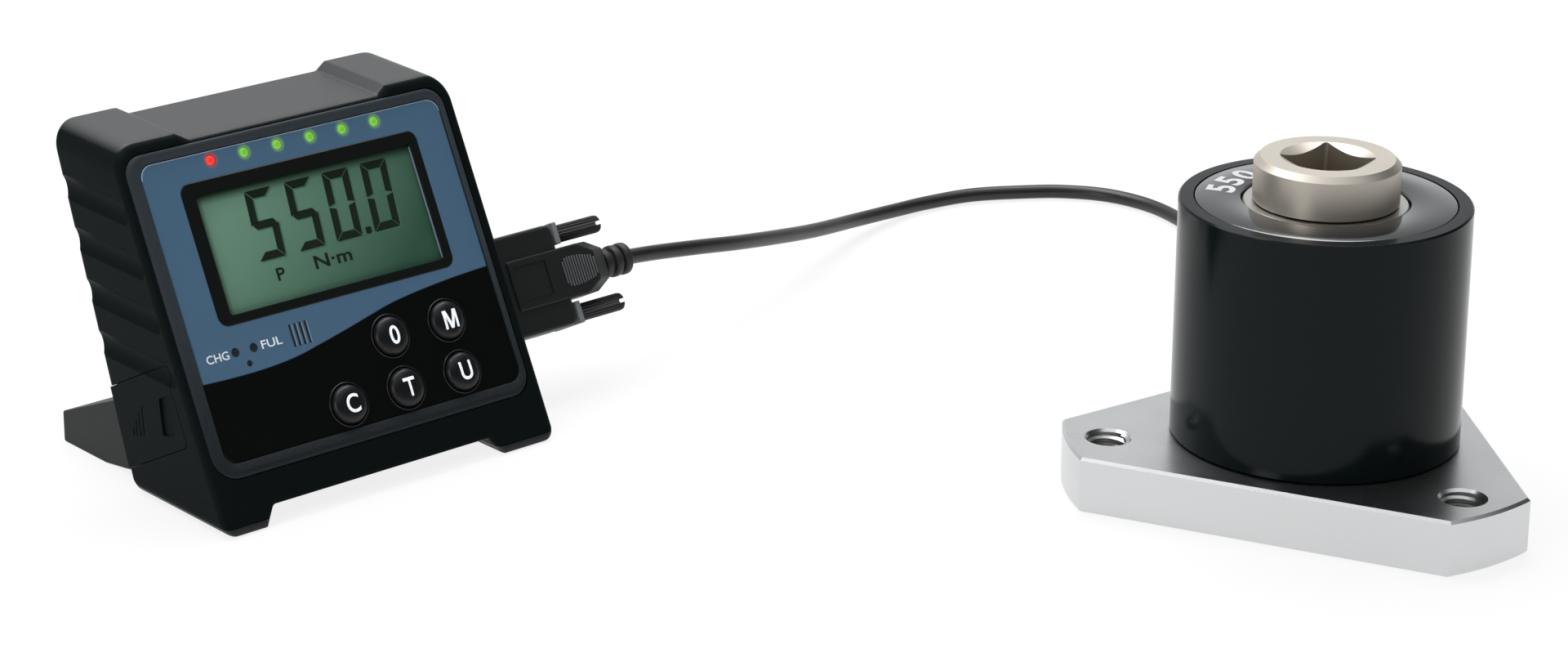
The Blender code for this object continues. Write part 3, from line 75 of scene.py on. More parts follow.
SCOOP_PITCH = 14.1
SCOOP_HEIGHT = 7.0
SCOOP_DEPTH = 1.35
SCOOP_STEPS = 24
SCOOPS_LEFT = 4
SCOOPS_RIGHT = 3

# A scoop's share of its depth, by the depth behind the panel
SCOOP_SHARES = ((1.5, 0.02), (2.0, 0.55), (2.6, 0.85), (3.5, 1.0), (BACK_DEPTH + 4, 1.0))
SCREW_INSET = 10.4
SCREW_WELL = 3.1
SCREW_DROPS = (16.0, 48.0)
HEEL_INSET = 5.8
HEEL_WIDTH = 24.0
HEEL_REACH = 93.4
HEEL_TIP = 9.5
HEEL_SLOPE = 0.412
BEZEL = (-56.2, 54.6, 15.6, 110.2)

# The frame's section from its outer edge (share 0) to the panel's edge (share 1), with its depths
BEZEL_BANDS = (
    (0.0, 4.0), (0.0, -0.35), (0.12, -0.75), (0.3, -0.95),
    (0.5, -0.9), (0.96, -0.25), (1.0, -0.1), (1.0, 0.4),
)

# Display front, each box as left, right, low and high
PANEL = (-51.5, 52.7, 20.0, 106.9)
PANEL_CORNER = 4.0
WINDOW = (-40.7, 41.9, 57.3, 99.2)
WINDOW_CORNER = 3.2
GLASS = (-36.3, 39.3, 60.1, 95.3)
LCD_N = 1.6
LED_X = -27.9
LED_PITCH = 11.44
LED_U = 104.2
BUTTON_X = -7.3
BUTTON_PITCH = 20.3
BUTTON_ROWS = (26.9, 42.5)
BUTTON_RADIUS = 5.8
BUTTON_LETTER = 2.75
BUTTON_WELL = 6.6
LED_HOLE = 1.75
LAMP_HOLE = 1.35
PINHOLE_RADIUS = 0.95
PANEL_WELLS = (-42.0, -10.0, 44.0, 54.5)
CHARGE = (-38.4, 49.8)
FULL = (-32.2, 49.8)
PINHOLE = (-34.9, 45.8)
SLOT = (-16.2, 50.1)
SLOT_COUNT = 4
SLOT_PITCH = 1.75
SLOT_HALF_HIGH = 3.3
SLOT_HALF_WIDE = 0.42
DARK_BACKING = [(0.0, 1.2), (0.0, 0.9)]
LABELS = {
    "label_charge": ("CHG", (-48.2, -40.7, 48.4, 50.8)),
    "label_full": ("FUL", (-29.6, -22.6, 48.7, 51.1)),
}

# Digits of the display
SEGMENTS = {"0": "abcdef", "5": "afgcd"}
DIGITS = (("5", -21.1), ("5", -7.3), ("0", 5.9), ("0", 19.5))
DIGIT_LOW = 72.8
DIGIT_HIGH = 93.2
DIGIT_WIDTH = 9.1
SEGMENT_WIDE = 2.35
SLANT = 0.075
SHADE_SHIFT = (0.5, -0.45)
POINT = (16.5, 18.5, 72.8, 74.9)
UNITS = {
    "unit_peak": ("P", (-16.9, -14.1, 66.2, 69.9)),
    "unit_torque": ("N·m", (-3.6, 9.4, 66.7, 70.6)),
}

# Battery door as front edge, low and high, with its finger slot and grip marks
DOOR = (6.1, 28.2, 51.8)
DOOR_THICK = 1.6
DOOR_WRAP = 5.2
DOOR_SLOT = [(7.2, 43.6), (13.6, 43.8), (17.2, 33.4), (10.9, 32.2)]
GRIP_BARS = ((23.6, 43.6, 35.4), (26.2, 42.2, 35.6), (28.8, 40.6, 36.0), (31.2, 39.0, 36.6))
GRIP_WIDE = 0.55
GRIP_SLANT = 0.4

# Connector on the right side
PORT_DEPTH = 20.0
PORT_U = 47.1
PORT_HALF_LONG = 15.8
PORT_HALF_SHORT = 6.55
SCREW_SPACING = 25.0
SCREW_WAY = 1.65
HOOD_FACE = HALF_WIDTH + 1.6
HOOD_ROOT = HOOD_FACE + 28.4
HOOD_TIP = HOOD_ROOT + 18.3
HOOD_HALF_LONG = 15.8
HOOD_HALF_SHORT = 7.7
RIB_REACH = (3.4, 4.3, 4.6, 4.6, 4.6, 4.5, 4.4, 4.3, 4.1, 3.9, 3.7, 3.4, 2.6)
TAIL_START = HOOD_FACE + 8.0
TAIL_HALF = 7.9
TAIL_TIP = 4.6
TAIL_NARROWING = 5.8
RIB_START = HOOD_FACE + 27.6
RIB_PITCH = 0.98
THUMB_START = 2.8
THUMB_LENGTH = 19.6
THUMB_RADIUS = 2.75
THUMB_SHANK = 1.35
THUMB_SIDES = 144
THUMB_FLUTES = 18
FLUTE_DEPTH = 0.32
COLLAR_HALF = 3.4
BOOT_NECK = 3.7
BOOT_RINGS = (4.6, 4.95, 5.0)
BOOT_PITCH = 3.65
BOOT_LENGTH = 11.7
CABLE_DIAMETER = 4.8

# Torque sensor
BASE_THICK = 16.3
BASE_RADIUS = 71.5
BASE_APOTHEM = 48.0
BASE_TURN = math.radians(143.5)
HOLE_CIRCLE = 59.2
HOLE_RADIUS = 5.1
HOLE_SINK = 6.8
THREAD_DEPTH = 0.9
THREAD_PITCH = 1.75
BASE_SOFT = 0.8
BASE_SCREW_CIRCLE = 25.5
BASE_SCREW_WELL = 4.9
HOUSING_RADIUS = 41.0
HOUSING_TOP = 86.0
HOUSING_RIM = 4.2
COVER_RADIUS = 36.5
COVER_HOLE = 23.6
COVER_THICK = 5.0
COVER_SOFT = 0.15
RANGE_RADIUS = 29.6
RANGE_DIGITS = (("5", 120.3), ("5", 105.4), ("0", 90.5))
SHAFT_RADIUS = 23.2
SHAFT_BORE = 16.8
DRIVE_RADIUS = 20.5
DRIVE_RISE = 12.6
DRIVE_CHAMFER = 1.7
SHANK_RADIUS = 16.5
SHANK_LENGTH = 22.0
SQUARE_HALF = 9.65
SQUARE_TURN = math.radians(-2.6)
SQUARE_LEAD = 13.3
GLAND_TURN = math.radians(50.7)
GLAND_HOLE = 4.6
GLAND_HEIGHT = BASE_THICK + GAP + 12.0

# Colours
PANEL_BLUE = (0.072, 0.15, 0.236)
PANEL_BLUE_LOW = (0.072, 0.148, 0.238)
PANEL_BLACK = (0.0025, 0.003, 0.003)
# The frame's own colour at the top, and its painted shade at the bottom
FRAME_HIGH = (0.034, 0.0425, 0.0495)
FRAME_PAINTED_SHADE = (0.0125, 0.0165, 0.0195)
LCD_DARK = (0.034, 0.1, 0.064)
LCD_LIGHT = (0.165, 0.32, 0.225)
# Colour of the painted shade along the liquid crystal's top and left edges
LCD_PAINTED_SHADE = (0.006, 0.022, 0.008)
RED_HALO = (0.9, 0.12, 0.1)
GREEN_HALO = (0.4, 0.75, 0.2)

# The panel's wave between its blue and its black part, as places across and up, and the heights it spans
WAVE = (
    (-52.5, 43.5), (-36.0, 43.1), (-27.0, 43.4), (-19.0, 44.2), (-11.6, 45.6), (-1.0, 47.8),
    (8.7, 50.0), (16.0, 51.6), (22.9, 52.6), (35.1, 53.8), (44.0, 54.4), (53.5, 54.8),
)
WAVE_SPAN = (40.0, 60.0)
PATCH_SCALE = 60.0


# Materials

def feed(tree, node, inputs):
    """Sets each input of a node to a value, or links it to the socket given for it."""
    for key, value in inputs.items():
        if isinstance(value, bpy.types.NodeSocket):
            tree.links.new(value, node.inputs[key])
        else:
            node.inputs[key].default_value = value


def add_node(tree, kind, inputs=None, **settings):
    node = tree.nodes.new("ShaderNode" + kind)
    for key, value in settings.items():
        setattr(node, key, value)
    feed(tree, node, inputs or {})
    return node


def dress(made, inputs):
    """Sets or links the inputs of a material's own shader."""
    feed(made.node_tree, made.node_tree.nodes["Principled BSDF"], inputs)


def own(tree, kind, axis=None):
    """The surface's own place or direction, or one axis of it."""
    whole = add_node(tree, "TexCoord").outputs[kind]
    return whole if axis is None else add_node(tree, "SeparateXYZ", {"Vector": whole}).outputs[axis]


def maths(tree, operation, first, second, clamp=False):
    return add_node(tree, "Math", {0: first, 1: second}, operation=operation, use_clamp=clamp).outputs[0]


def mapped(tree, value, low, high, bottom=0.0, top=1.0, kind="LINEAR"):
    """A value between bottom and top, as the given one goes from low to high."""
    inputs = {"Value": value, "From Min": low, "From Max": high, "To Min": bottom, "To Max": top}
    return add_node(tree, "MapRange", inputs, interpolation_type=kind).outputs["Result"]


def axis_mm(tree, axis):
    """A socket with the object's own coordinate along one axis, in millimetres."""
    return maths(tree, "MULTIPLY", own(tree, "Object", axis), 1.0 / MM)


def roughen(made, place, scale, detail, strength, height):
    """Bumps a material by a noise."""
    tree = made.node_tree
    noise = add_node(tree, "TexNoise", {"Vector": place, "Scale": scale, "Detail": detail})
    inputs = {"Height": noise.outputs["Fac"], "Strength": strength, "Distance": height}
    dress(made, {"Normal": add_node(tree, "Bump", inputs).outputs["Normal"]})


def finish_of(name, colour, rough, metal=0.0, specular=0.5, grain=None, coat=0.0, patches=0.0):
    """A Principled material with an optional fine grain (scale per metre, strength) and uneven roughness."""
    made = bpy.data.materials.new(name)
    made.use_nodes = True
    dress(made, {
        "Base Color": (*colour, 1.0), "Roughness": rough, "Metallic": metal,
        "Specular IOR Level": specular, "Coat Weight": coat,
    })
    tree = made.node_tree
    if grain:
        roughen(made, own(tree, "Object"), grain[0], 3.0, grain[1], 0.0002)
    if patches:
        cloud = add_node(tree, "TexNoise", {"Vector": own(tree, "Object"), "Scale": PATCH_SCALE})
        uneven = mapped(tree, cloud.outputs["Fac"], 0.0, 1.0, rough - patches, rough + patches)
        dress(made, {"Roughness": uneven})
    return made


def moulded(name, colour, rough, speculars):
    """Textured plastic whose level faces are glossier than its sides, where the mould's texture is deeper."""
    made = finish_of(name, colour, rough, grain=(2600.0, 0.25))
    tree = made.node_tree
    dress(made, {"Specular IOR Level": mapped(tree, own(tree, "Normal", "Z"), 0.62, 0.88, *speculars)})
    return made


def brushed(name, colour, rough, scales, strength, patches=0.0):
    """Metal with a grain drawn out along one direction."""
    made = finish_of(name, colour, rough, 1.0, patches=patches)
    tree = made.node_tree
    stretch = add_node(tree, "Mapping", {"Vector": own(tree, "Object"), "Scale": scales})
    roughen(made, stretch.outputs["Vector"], 1.0, 4.0, strength, 0.0001)
    return made


def glow(name, colour, strength):
    made = finish_of(name, colour, 0.25)
    dress(made, {"Emission Color": (*colour, 1.0), "Emission Strength": strength})
    return made


def ramp_between(tree, value, low, high, colours):
    """A colour that goes from the first to the second as the value goes from low to high."""
    ends = [(*colour, 1.0) if isinstance(colour, tuple) else colour for colour in colours]
    inputs = {"Factor": mapped(tree, value, low, high), 6: ends[0], 7: ends[1]}
    return add_node(tree, "Mix", inputs, data_type="RGBA").outputs[2]


def panel_finish():
    """Slate blue above the wave and black below it."""
    made = finish_of("panel_print", PANEL_BLUE, 0.42, specular=0.16, grain=(9000.0, 0.05))
    tree = made.node_tree
    up = axis_mm(tree, "Z")
    left, right = WAVE[0][0], WAVE[-1][0]
    low, high = WAVE_SPAN
    line = add_node(tree, "FloatCurve", {"Value": mapped(tree, axis_mm(tree, "X"), left, right)})
    curve = line.mapping.curves[0]
    points = [((x - left) / (right - left), (u - low) / (high - low)) for x, u in WAVE]
    curve.points[0].location = points[0]
    curve.points[1].location = points[-1]
    for point in points[1:-1]:
        curve.points.new(*point)
    line.mapping.update()
    above = maths(tree, "SUBTRACT", up, mapped(tree, line.outputs["Value"], 0.0, 1.0, low, high))
    blue = ramp_between(tree, up, 45.0, 107.0, (PANEL_BLUE_LOW, PANEL_BLUE))
    shade = ramp_between(tree, above, -0.12, 0.12, (PANEL_BLACK, blue))
    dress(made, {"Base Color": shade, "Roughness": mapped(tree, above, -0.1, 0.1, 0.3, 0.5)})
    return made


def frame_with_painted_shade():
    """Textured plastic with painted shade: darker towards the bottom of the frame, where less light reaches.
    """
    made = finish_of("moulded_frame", FRAME_HIGH, 0.45, specular=0.14, grain=(1700.0, 0.7))
    tree = made.node_tree
    dress(made, {"Base Color": ramp_between(tree, axis_mm(tree, "Z"), 14.0, 62.0, (FRAME_PAINTED_SHADE, FRAME_HIGH))})
    return made


def crystal_finish():
    """Grey-green liquid crystal, lighter to the upper left, with painted shade along its top and left edges.
    """
    made = finish_of("liquid_crystal", LCD_DARK, 0.5, specular=0.2)
    tree = made.node_tree
    across = axis_mm(tree, "X")
    up = axis_mm(tree, "Z")
    body = ramp_between(tree, maths(tree, "SUBTRACT", up, across), 35.0, 115.0, (LCD_DARK, LCD_LIGHT))
    # Painted shade along the top and left edges of the glass's opening
    body = ramp_between(tree, up, GLASS[3] - 3.2, GLASS[3] - 0.3, (body, LCD_PAINTED_SHADE))
    body = ramp_between(tree, across, GLASS[0] + 0.2, GLASS[0] + 2.6, (LCD_PAINTED_SHADE, body))
    dress(made, {"Base Color": body})
    return made


def mixed_material(name, share_of, first, second):
    """A material that mixes two shaders by a share."""
    made = bpy.data.materials.new(name)
    made.use_nodes = True
    tree = made.node_tree
    tree.nodes.clear()
    ends = [add_node(tree, kind, inputs).outputs[0] for kind, inputs in (first, second)]
    mix = add_node(tree, "MixShader", {"Fac": share_of(tree), 1: ends[0], 2: ends[1]})
    add_node(tree, "OutputMaterial", {"Surface": mix.outputs[0]})
    return made


def halo_finish(name, colour):
    """A round glow that fades to nothing at its edge."""
    def fade(tree):
        away = add_node(tree, "VectorMath", {0: own(tree, "Object")}, operation="LENGTH").outputs["Value"]
        return mapped(tree, away, 1.3 * MM, 2.7 * MM, 0.34, 0.0, "SMOOTHSTEP")

    return mixed_material(name, fade, ("BsdfTransparent", {}), ("Emission", {"Color": (*colour, 1.0)}))


SHELL = moulded("moulded_shell", (0.0052, 0.0078, 0.0083), 0.4, (0.02, 0.8))
FRAME = frame_with_painted_shade()
FOOT = finish_of("foot_rubber", (0.014, 0.0175, 0.0185), 0.5, specular=0.3, grain=(1500.0, 0.3))
HEEL = finish_of("heel_plastic", (0.0115, 0.0145, 0.0152), 0.5, specular=0.2, grain=(2600.0, 0.2))
# A black sheet that stands in for the shade inside the panel's holes and button gaps
DARK = finish_of("painted_shade_gap", (0.002, 0.002, 0.002), 0.8, specular=0.1, grain=(900.0, 0.1))
BORDER = finish_of("window_border", (0.006, 0.007, 0.007), 0.28, specular=0.3, patches=0.03)
BUTTON = finish_of("button_rubber", (0.0065, 0.0068, 0.0085), 0.34, specular=0.32, grain=(3000.0, 0.05))
BUTTON_RING = finish_of("button_ring", (0.005, 0.005, 0.006), 0.25, grain=(3000.0, 0.05))
SEGMENT = finish_of("crystal_segment", (0.012, 0.02, 0.013), 0.5, specular=0.1, grain=(4000.0, 0.05))
SEGMENT_SHADE = finish_of("crystal_shade", (0.07, 0.17, 0.11), 0.5, specular=0.1, grain=(4000.0, 0.05))
# Painted highlight on the panel's bevelled edge
PANEL_EDGE_HIGHLIGHT = finish_of("painted_highlight_panel_edge", (0.42, 0.52, 0.64), 0.4, specular=0.4, grain=(4000.0, 0.05))
# Painted highlight on the right edges of the sound slots and of the glass
SLOT_AND_GLASS_HIGHLIGHT = finish_of("painted_edge_highlight", (0.26, 0.32, 0.38), 0.4, grain=(4000.0, 0.05))
COVER_LETTER = finish_of("cover_print", (0.58, 0.6, 0.62), 0.5, grain=(4000.0, 0.05))
# Printed letters that glow though they are no lamp: painted light on white print
LETTER = glow("button_letter_painted_glow", (0.88, 0.92, 0.95), 0.34)
PANEL_LETTER = glow("panel_letter_painted_glow", (0.7, 0.75, 0.8), 0.22)
RED = glow("lamp_red_glow", (0.9, 0.025, 0.02), 0.72)
GREEN = glow("lamp_green_glow", (0.12, 0.48, 0.03), 0.46)
LAMP_DARK = finish_of("lamp_off", (0.02, 0.018, 0.018), 0.2, grain=(3000.0, 0.05))
HOOD = finish_of("hood_plastic", (0.0105, 0.0125, 0.0128), 0.45, specular=0.36, grain=(2200.0, 0.15))
THUMB = finish_of("thumbscrew_plastic", (0.012, 0.012, 0.013), 0.4, grain=(2200.0, 0.1))
RING = finish_of("ring_plastic", (0.2, 0.212, 0.218), 0.45, grain=(2200.0, 0.1))
# Ribs of the black hood drawn light grey: painted highlight on their crests
RIB = finish_of("rib_painted_highlight", (0.11, 0.113, 0.118), 0.4, specular=0.6, grain=(2200.0, 0.05))
BOOT = finish_of("boot_rubber", (0.013, 0.013, 0.014), 0.55, grain=(1800.0, 0.15))
JACKET = finish_of("cable_jacket_skin", (0.012, 0.012, 0.012), 0.36, grain=(900.0, 0.1))
ANODISED = finish_of(
    "black_anodised", (0.0028, 0.0062, 0.007), 0.16, specular=0.13, grain=(500.0, 0.02), patches=0.02,
)
COVER = finish_of(
    "cover_anodised", (0.006, 0.0065, 0.0075), 0.13, specular=1.0, grain=(900.0, 0.03), coat=0.4,
)
PLATE = brushed("milled_plate", (0.65, 0.66, 0.665), 0.28, (150.0, 3000.0, 150.0), 0.05, patches=0.05)
THREAD = brushed("cut_thread", (0.5, 0.5, 0.49), 0.28, (400.0, 400.0, 400.0), 0.05)
TURNED = brushed("turned_steel", (0.56, 0.515, 0.455), 0.44, (60.0, 60.0, 4000.0), 0.12, patches=0.04)
COLLAR = brushed("turned_collar", (0.55, 0.54, 0.52), 0.3, (60.0, 60.0, 4000.0), 0.1)
NICKEL = brushed("plated_nickel", (0.66, 0.65, 0.62), 0.25, (300.0, 300.0, 300.0), 0.05)
SCREW_STEEL = brushed("screw_steel", (0.5, 0.5, 0.5), 0.3, (300.0, 300.0, 300.0), 0.1)
BOARD = finish_of("board_mask", (0.02, 0.11, 0.05), 0.4, grain=(1200.0, 0.1))
WRAP = finish_of("cell_wrap", (0.05, 0.12, 0.3), 0.35, grain=(600.0, 0.1))
MASS = finish_of("black_moulding", (0.012, 0.012, 0.013), 0.5, grain=(1800.0, 0.1))


# Geometry helpers

def add_piece(name, points, faces, look, matrix=UPRIGHT, body="tester", slot=None, sharp=30.0):
    """A mesh from points in millimetres, riding on a body. One without a look is a cutter."""
    mesh = bpy.data.meshes.new(name)
    mesh.from_pydata([[value * MM for value in point] for point in points], [], faces)
    form = bmesh.new()
    form.from_mesh(mesh)
    bmesh.ops.recalc_face_normals(form, faces=form.faces)
    form.to_mesh(mesh)
    form.free()
    made = bpy.data.objects.new(name, mesh)
    bpy.context.scene.collection.objects.link(made)
    made.matrix_world = matrix
    if look is None:
        return made
    mesh.shade_smooth()
    mesh.set_sharp_from_angle(angle=math.radians(sharp))
    mesh.materials.append(look)
    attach(made, body)
    return made


def loft(name, rings, look, **options):
    """A closed solid through rings that all have the same number of points."""
    count = len(rings[0])
    points = [point for ring in rings for point in ring]
    faces = [tuple(range(count)), tuple(range(len(points) - count, len(points)))]
    for start in range(0, len(points) - count, count):
        for i in range(count):
            j = (i + 1) % count
            faces.append((start + i, start + j, start + count + j, start + count + i))
    return add_piece(name, points, faces, look, **options)


def lathe(name, profile, look, segments=96, **options):
    """A solid turned about its z axis, from (radius, z) points."""
    points = []
    index = []
    for radius, z in profile:
        if radius == 0:
            index.append([len(points)] * segments)
            points.append((0.0, 0.0, z))
            continue
        index.append(list(range(len(points), len(points) + segments)))
        points += [(x, y, z) for x, y in disc(0.0, 0.0, radius, segments)]
    rows = list(zip(index, index[1:]))
    if all(radius > 0 for radius, _ in profile):
        rows.append((index[-1], index[0]))
    faces = []
    for low, high in rows:
        for k in range(segments):
            j = (k + 1) % segments
            faces.append(tuple(dict.fromkeys([low[k], low[j], high[j], high[k]])))
    return add_piece(name, points, faces, look, **options)


def rounded(corners, steps=8):
    """An outline through (x, z, radius) corners, each turned by an arc of its own radius."""
    outline = []
    count = len(corners)
    for i, (x, z, radius) in enumerate(corners):
        if radius == 0:
            outline.append((x, z))
            continue
        before = corners[i - 1]
        after = corners[(i + 1) % count]
        a = math.atan2(before[1] - z, before[0] - x)
        b = math.atan2(after[1] - z, after[0] - x)
        turn = (b - a + math.pi) % (2 * math.pi) - math.pi
        reach = radius / math.tan(abs(turn) / 2)
        middle = a + turn / 2
        distance = radius / math.sin(abs(turn) / 2)
        cx = x + distance * math.cos(middle)
        cz = z + distance * math.sin(middle)
        first = math.atan2(z + reach * math.sin(a) - cz, x + reach * math.cos(a) - cx)
        last = math.atan2(z + reach * math.sin(b) - cz, x + reach * math.cos(b) - cx)
        sweep = (last - first + math.pi) % (2 * math.pi) - math.pi
        for k in range(steps + 1):
            angle = first + sweep * k / steps
            outline.append((cx + radius * math.cos(angle), cz + radius * math.sin(angle)))
    return outline


def box_outline(x0, x1, u0, u1, radius=0.0, steps=8):
    return rounded([(x0, u0, radius), (x1, u0, radius), (x1, u1, radius), (x0, u1, radius)], steps)


def grown(box, amount, radius, steps=8):
    x0, x1, u0, u1 = box
    return box_outline(x0 - amount, x1 + amount, u0 - amount, u1 + amount, radius, steps)


def shrink(outline, amount):
    """The outline moved inwards by an amount, corner by corner."""
    inner = []
    count = len(outline)
    for i, (x, z) in enumerate(outline):
        ax, az = outline[i - 1]
        bx, bz = outline[(i + 1) % count]
        nx = nz = 0.0
        for dx, dz in ((x - ax, z - az), (bx - x, bz - z)):
            length = math.hypot(dx, dz) or 1.0
            nx -= dz / length
            nz += dx / length
        scale = 2 * amount / (nx * nx + nz * nz)
        inner.append((x + scale * nx, z + scale * nz))
    return inner


def disc(x, u, radius, sides=48):
    turns = [2 * math.pi * k / sides for k in range(sides)]
    return [(x + radius * math.cos(turn), u + radius * math.sin(turn)) for turn in turns]


def place(x, z, n):
    """A point at height z and depth n behind the panel, in the leaning frame."""
    rise = TOP_RISE * (n / BACK_DEPTH) * max(0.0, 2 * z / HEIGHT - 1)
    return (x, n, (z + rise + n * SIN) / COS)


def on_front(x, u, n):
    return (x, n, u)


def on_side(n, u, x):
    return (x, n, u)


def on_table(x, y, z):
    return (x, y, z)


def back_depth(z):
    return BACK_DEPTH - BACK_TAPER * z


def back_at(u):
    """The depth of the back at a place up the slope, where depth and height depend on each other."""
    n = BACK_DEPTH
    for _ in range(6):
        n = back_depth(u * COS - n * SIN)
    return n


def level_rings(outline, levels, point=on_front):
    """Rings of one outline, for levels of (how far it is drawn in, its depth)."""
    rings = []
    for inset, depth in levels:
        ring = shrink(outline, inset) if inset else outline
        rings.append([point(a, b, depth(b) if callable(depth) else depth) for a, b in ring])
    return rings


def tile(name, outline, levels, look, **options):
    """A solid with its sides square to the panel; each level is (inset, depth)."""
    return loft(name, level_rings(outline, levels), look, matrix=TILT, **options)


def side_prism(name, outline, levels, look, **options):
    """A solid from a side outline of (n, u) points; each level is (inset, place across)."""
    return loft(name, level_rings(outline, levels, on_side), look, matrix=TILT, **options)


def settle(target, cuts=(), joins=(), bevel=0.0, segments=3, sharp=30.0, angle=30.0):
    """Cuts and joins a piece, rounds its edges and keeps the result as its mesh."""
    for other, operation in [(one, "UNION") for one in joins] + [(one, "DIFFERENCE") for one in cuts]:
        step = target.modifiers.new(other.name, "BOOLEAN")
        step.object = other
        step.operation = operation
        step.solver = "EXACT"
    if bevel:
        step = target.modifiers.new("edges", "BEVEL")
        step.width = bevel * MM
        step.segments = segments
        step.limit_method = "ANGLE"
        step.angle_limit = math.radians(angle)
        step.use_clamp_overlap = True
        step.miter_outer = "MITER_ARC"
    bpy.context.view_layer.update()
    graph = bpy.context.evaluated_depsgraph_get()
    mesh = bpy.data.meshes.new_from_object(target.evaluated_get(graph))
    old = target.data
    target.modifiers.clear()
    target.data = mesh
    if not mesh.materials:
        mesh.materials.append(old.materials[0])
    mesh.shade_smooth()
    mesh.set_sharp_from_angle(angle=math.radians(sharp))
    target.modifiers.new("flat_normals", "WEIGHTED_NORMAL").keep_sharp = True
    for other in list(cuts) + list(joins):
        bpy.data.objects.remove(other)


def cutter(name, rings, matrix=TILT):
    return loft(name, rings, None, matrix=matrix)


def tile_cutter(name, outline, near, far):
    return cutter(name, level_rings(outline, [(0.0, near), (0.0, far)]))


def side_cutter(name, outline, x0, x1):
    return cutter(name, level_rings(outline, [(0.0, x0), (0.0, x1)], on_side))


def post_cutter(name, outline, low, high, matrix=UPRIGHT):
    return cutter(name, level_rings(outline, [(0.0, low), (0.0, high)], on_table), matrix)


# Housing

def body_corners():
    left = -HALF_WIDTH
    right = HALF_WIDTH
    low_top = HEIGHT - TOP_RECESS
    return [
        (left, 0.0, FOOT_CORNER),
        (left + FOOT_LEFT, 0.0, 1.2),
        (left + FOOT_LEFT + END_SLOPE, FOOT_HEIGHT, 1.6),
        (right - FOOT_RIGHT - END_SLOPE, FOOT_HEIGHT, 1.6),
        (right - FOOT_RIGHT, 0.0, 1.2),
        (right, 0.0, FOOT_CORNER),
        (right, HEIGHT, CORNER),
        (right - END_RIGHT, HEIGHT, EDGE_SOFT),
        (right - END_RIGHT - END_SLOPE, low_top, EDGE_SOFT),
        (left + END_LEFT + END_SLOPE, low_top, EDGE_SOFT),
        (left + END_LEFT, HEIGHT, EDGE_SOFT),
        (left, HEIGHT, CORNER),
    ]


def drawn_in(corners, inset):
    """The corners moved inwards by an amount, with their radii kept in step."""
    moved = []
    count = len(corners)
    for i, (x, z, radius) in enumerate(corners):
        ax, az, _ = corners[i - 1]
        bx, bz, _ = corners[(i + 1) % count]
        first = math.atan2(z - az, x - ax) + math.pi / 2
        second = math.atan2(bz - z, bx - x) + math.pi / 2
        spread = 1 + math.cos(second - first)
        convex = math.sin(second - first) > 0
        moved.append((
            x + inset * (math.cos(first) + math.cos(second)) / spread,
            z + inset * (math.sin(first) + math.sin(second)) / spread,
            max(radius - inset, 0.2) if convex else radius + inset,
        ))
    return moved


def body_loft(name, look, slot):
    """The whole body from its soft front rim to its back, feet included."""
    levels = [
        (2.1, FRONT), (1.15, FRONT + 0.18), (0.5, FRONT + 0.6), (0.12, FRONT + 1.3), (0.0, FRONT + 2.2),
        (0.0, lambda z: back_depth(z) - 1.8), (0.4, lambda z: back_depth(z) - 0.6), (1.4, back_depth),
    ]
    rings = []
    for inset, depth in levels:
        outline = rounded(drawn_in(body_corners(), inset), 10)
        rings += level_rings(outline, [(0.0, depth)], place)
    return loft(name, rings, look, matrix=TILT, slot=slot)


def upright_box(name, x0, x1, z0, z1):
    """A world-upright box cutter through the display."""
    outline = [(x0, z0), (x1, z0), (x1, z1), (x0, z1)]
    near, far = DISPLAY_Y - 20.0, DISPLAY_Y + 130.0
    return cutter(name, [[(DISPLAY_X + x, y, z) for x, z in outline] for y in (near, far)], UPRIGHT)


def scoop_cutter(name, side, row):
    """One grip scoop: an arc let into the side that shallows out just behind the front rim."""
    top = SCOOP_TOP - row * SCOOP_PITCH
    radius = (SCOOP_HEIGHT ** 2 / 4 + SCOOP_DEPTH ** 2) / (2 * SCOOP_DEPTH)
    half = math.asin(SCOOP_HEIGHT / 2 / radius)
    middle = top - SCOOP_HEIGHT / 2
    rings = []
    for n, share in SCOOP_SHARES:
        centre = HALF_WIDTH + radius - SCOOP_DEPTH * share
        outline = []
        for k in range(SCOOP_STEPS + 1):
            angle = -half + 2 * half * k / SCOOP_STEPS
            outline.append((side * (centre - radius * math.cos(angle)), middle + radius * math.sin(angle)))
        outline.append((side * (HALF_WIDTH + 3), top))
        outline.append((side * (HALF_WIDTH + 3), top - SCOOP_HEIGHT))
        rings.append([place(x, z, n) for x, z in outline])
    return cutter(name, rings)


def bezel_outline(amount=0.0):
    """The inset frame round the panel: wide on the left and below, narrow on the right."""
    x0, x1, u0, u1 = BEZEL
    return rounded([
        (x0 - amount, u0 - amount, 8.0), (x1 + amount, u0 - amount, 6.5),
        (x1 + amount, u1 + amount, 6.0), (x0 - amount, u1 + amount, 6.0),
    ], 10)


def door_seat(front, back, radius, grow):
    return rounded([
        (front - grow, DOOR[1] - grow, radius), (back, DOOR[1] - grow, 0.0),
        (back, DOOR[2] + grow, 0.0), (front - grow, DOOR[2] + grow, radius),
    ], 8)


def screw_places():
    rows = [HEIGHT / COS - drop for drop in SCREW_DROPS]
    return [(side * (HALF_WIDTH - SCREW_INSET), u) for u in rows for side in (-1, 1)]


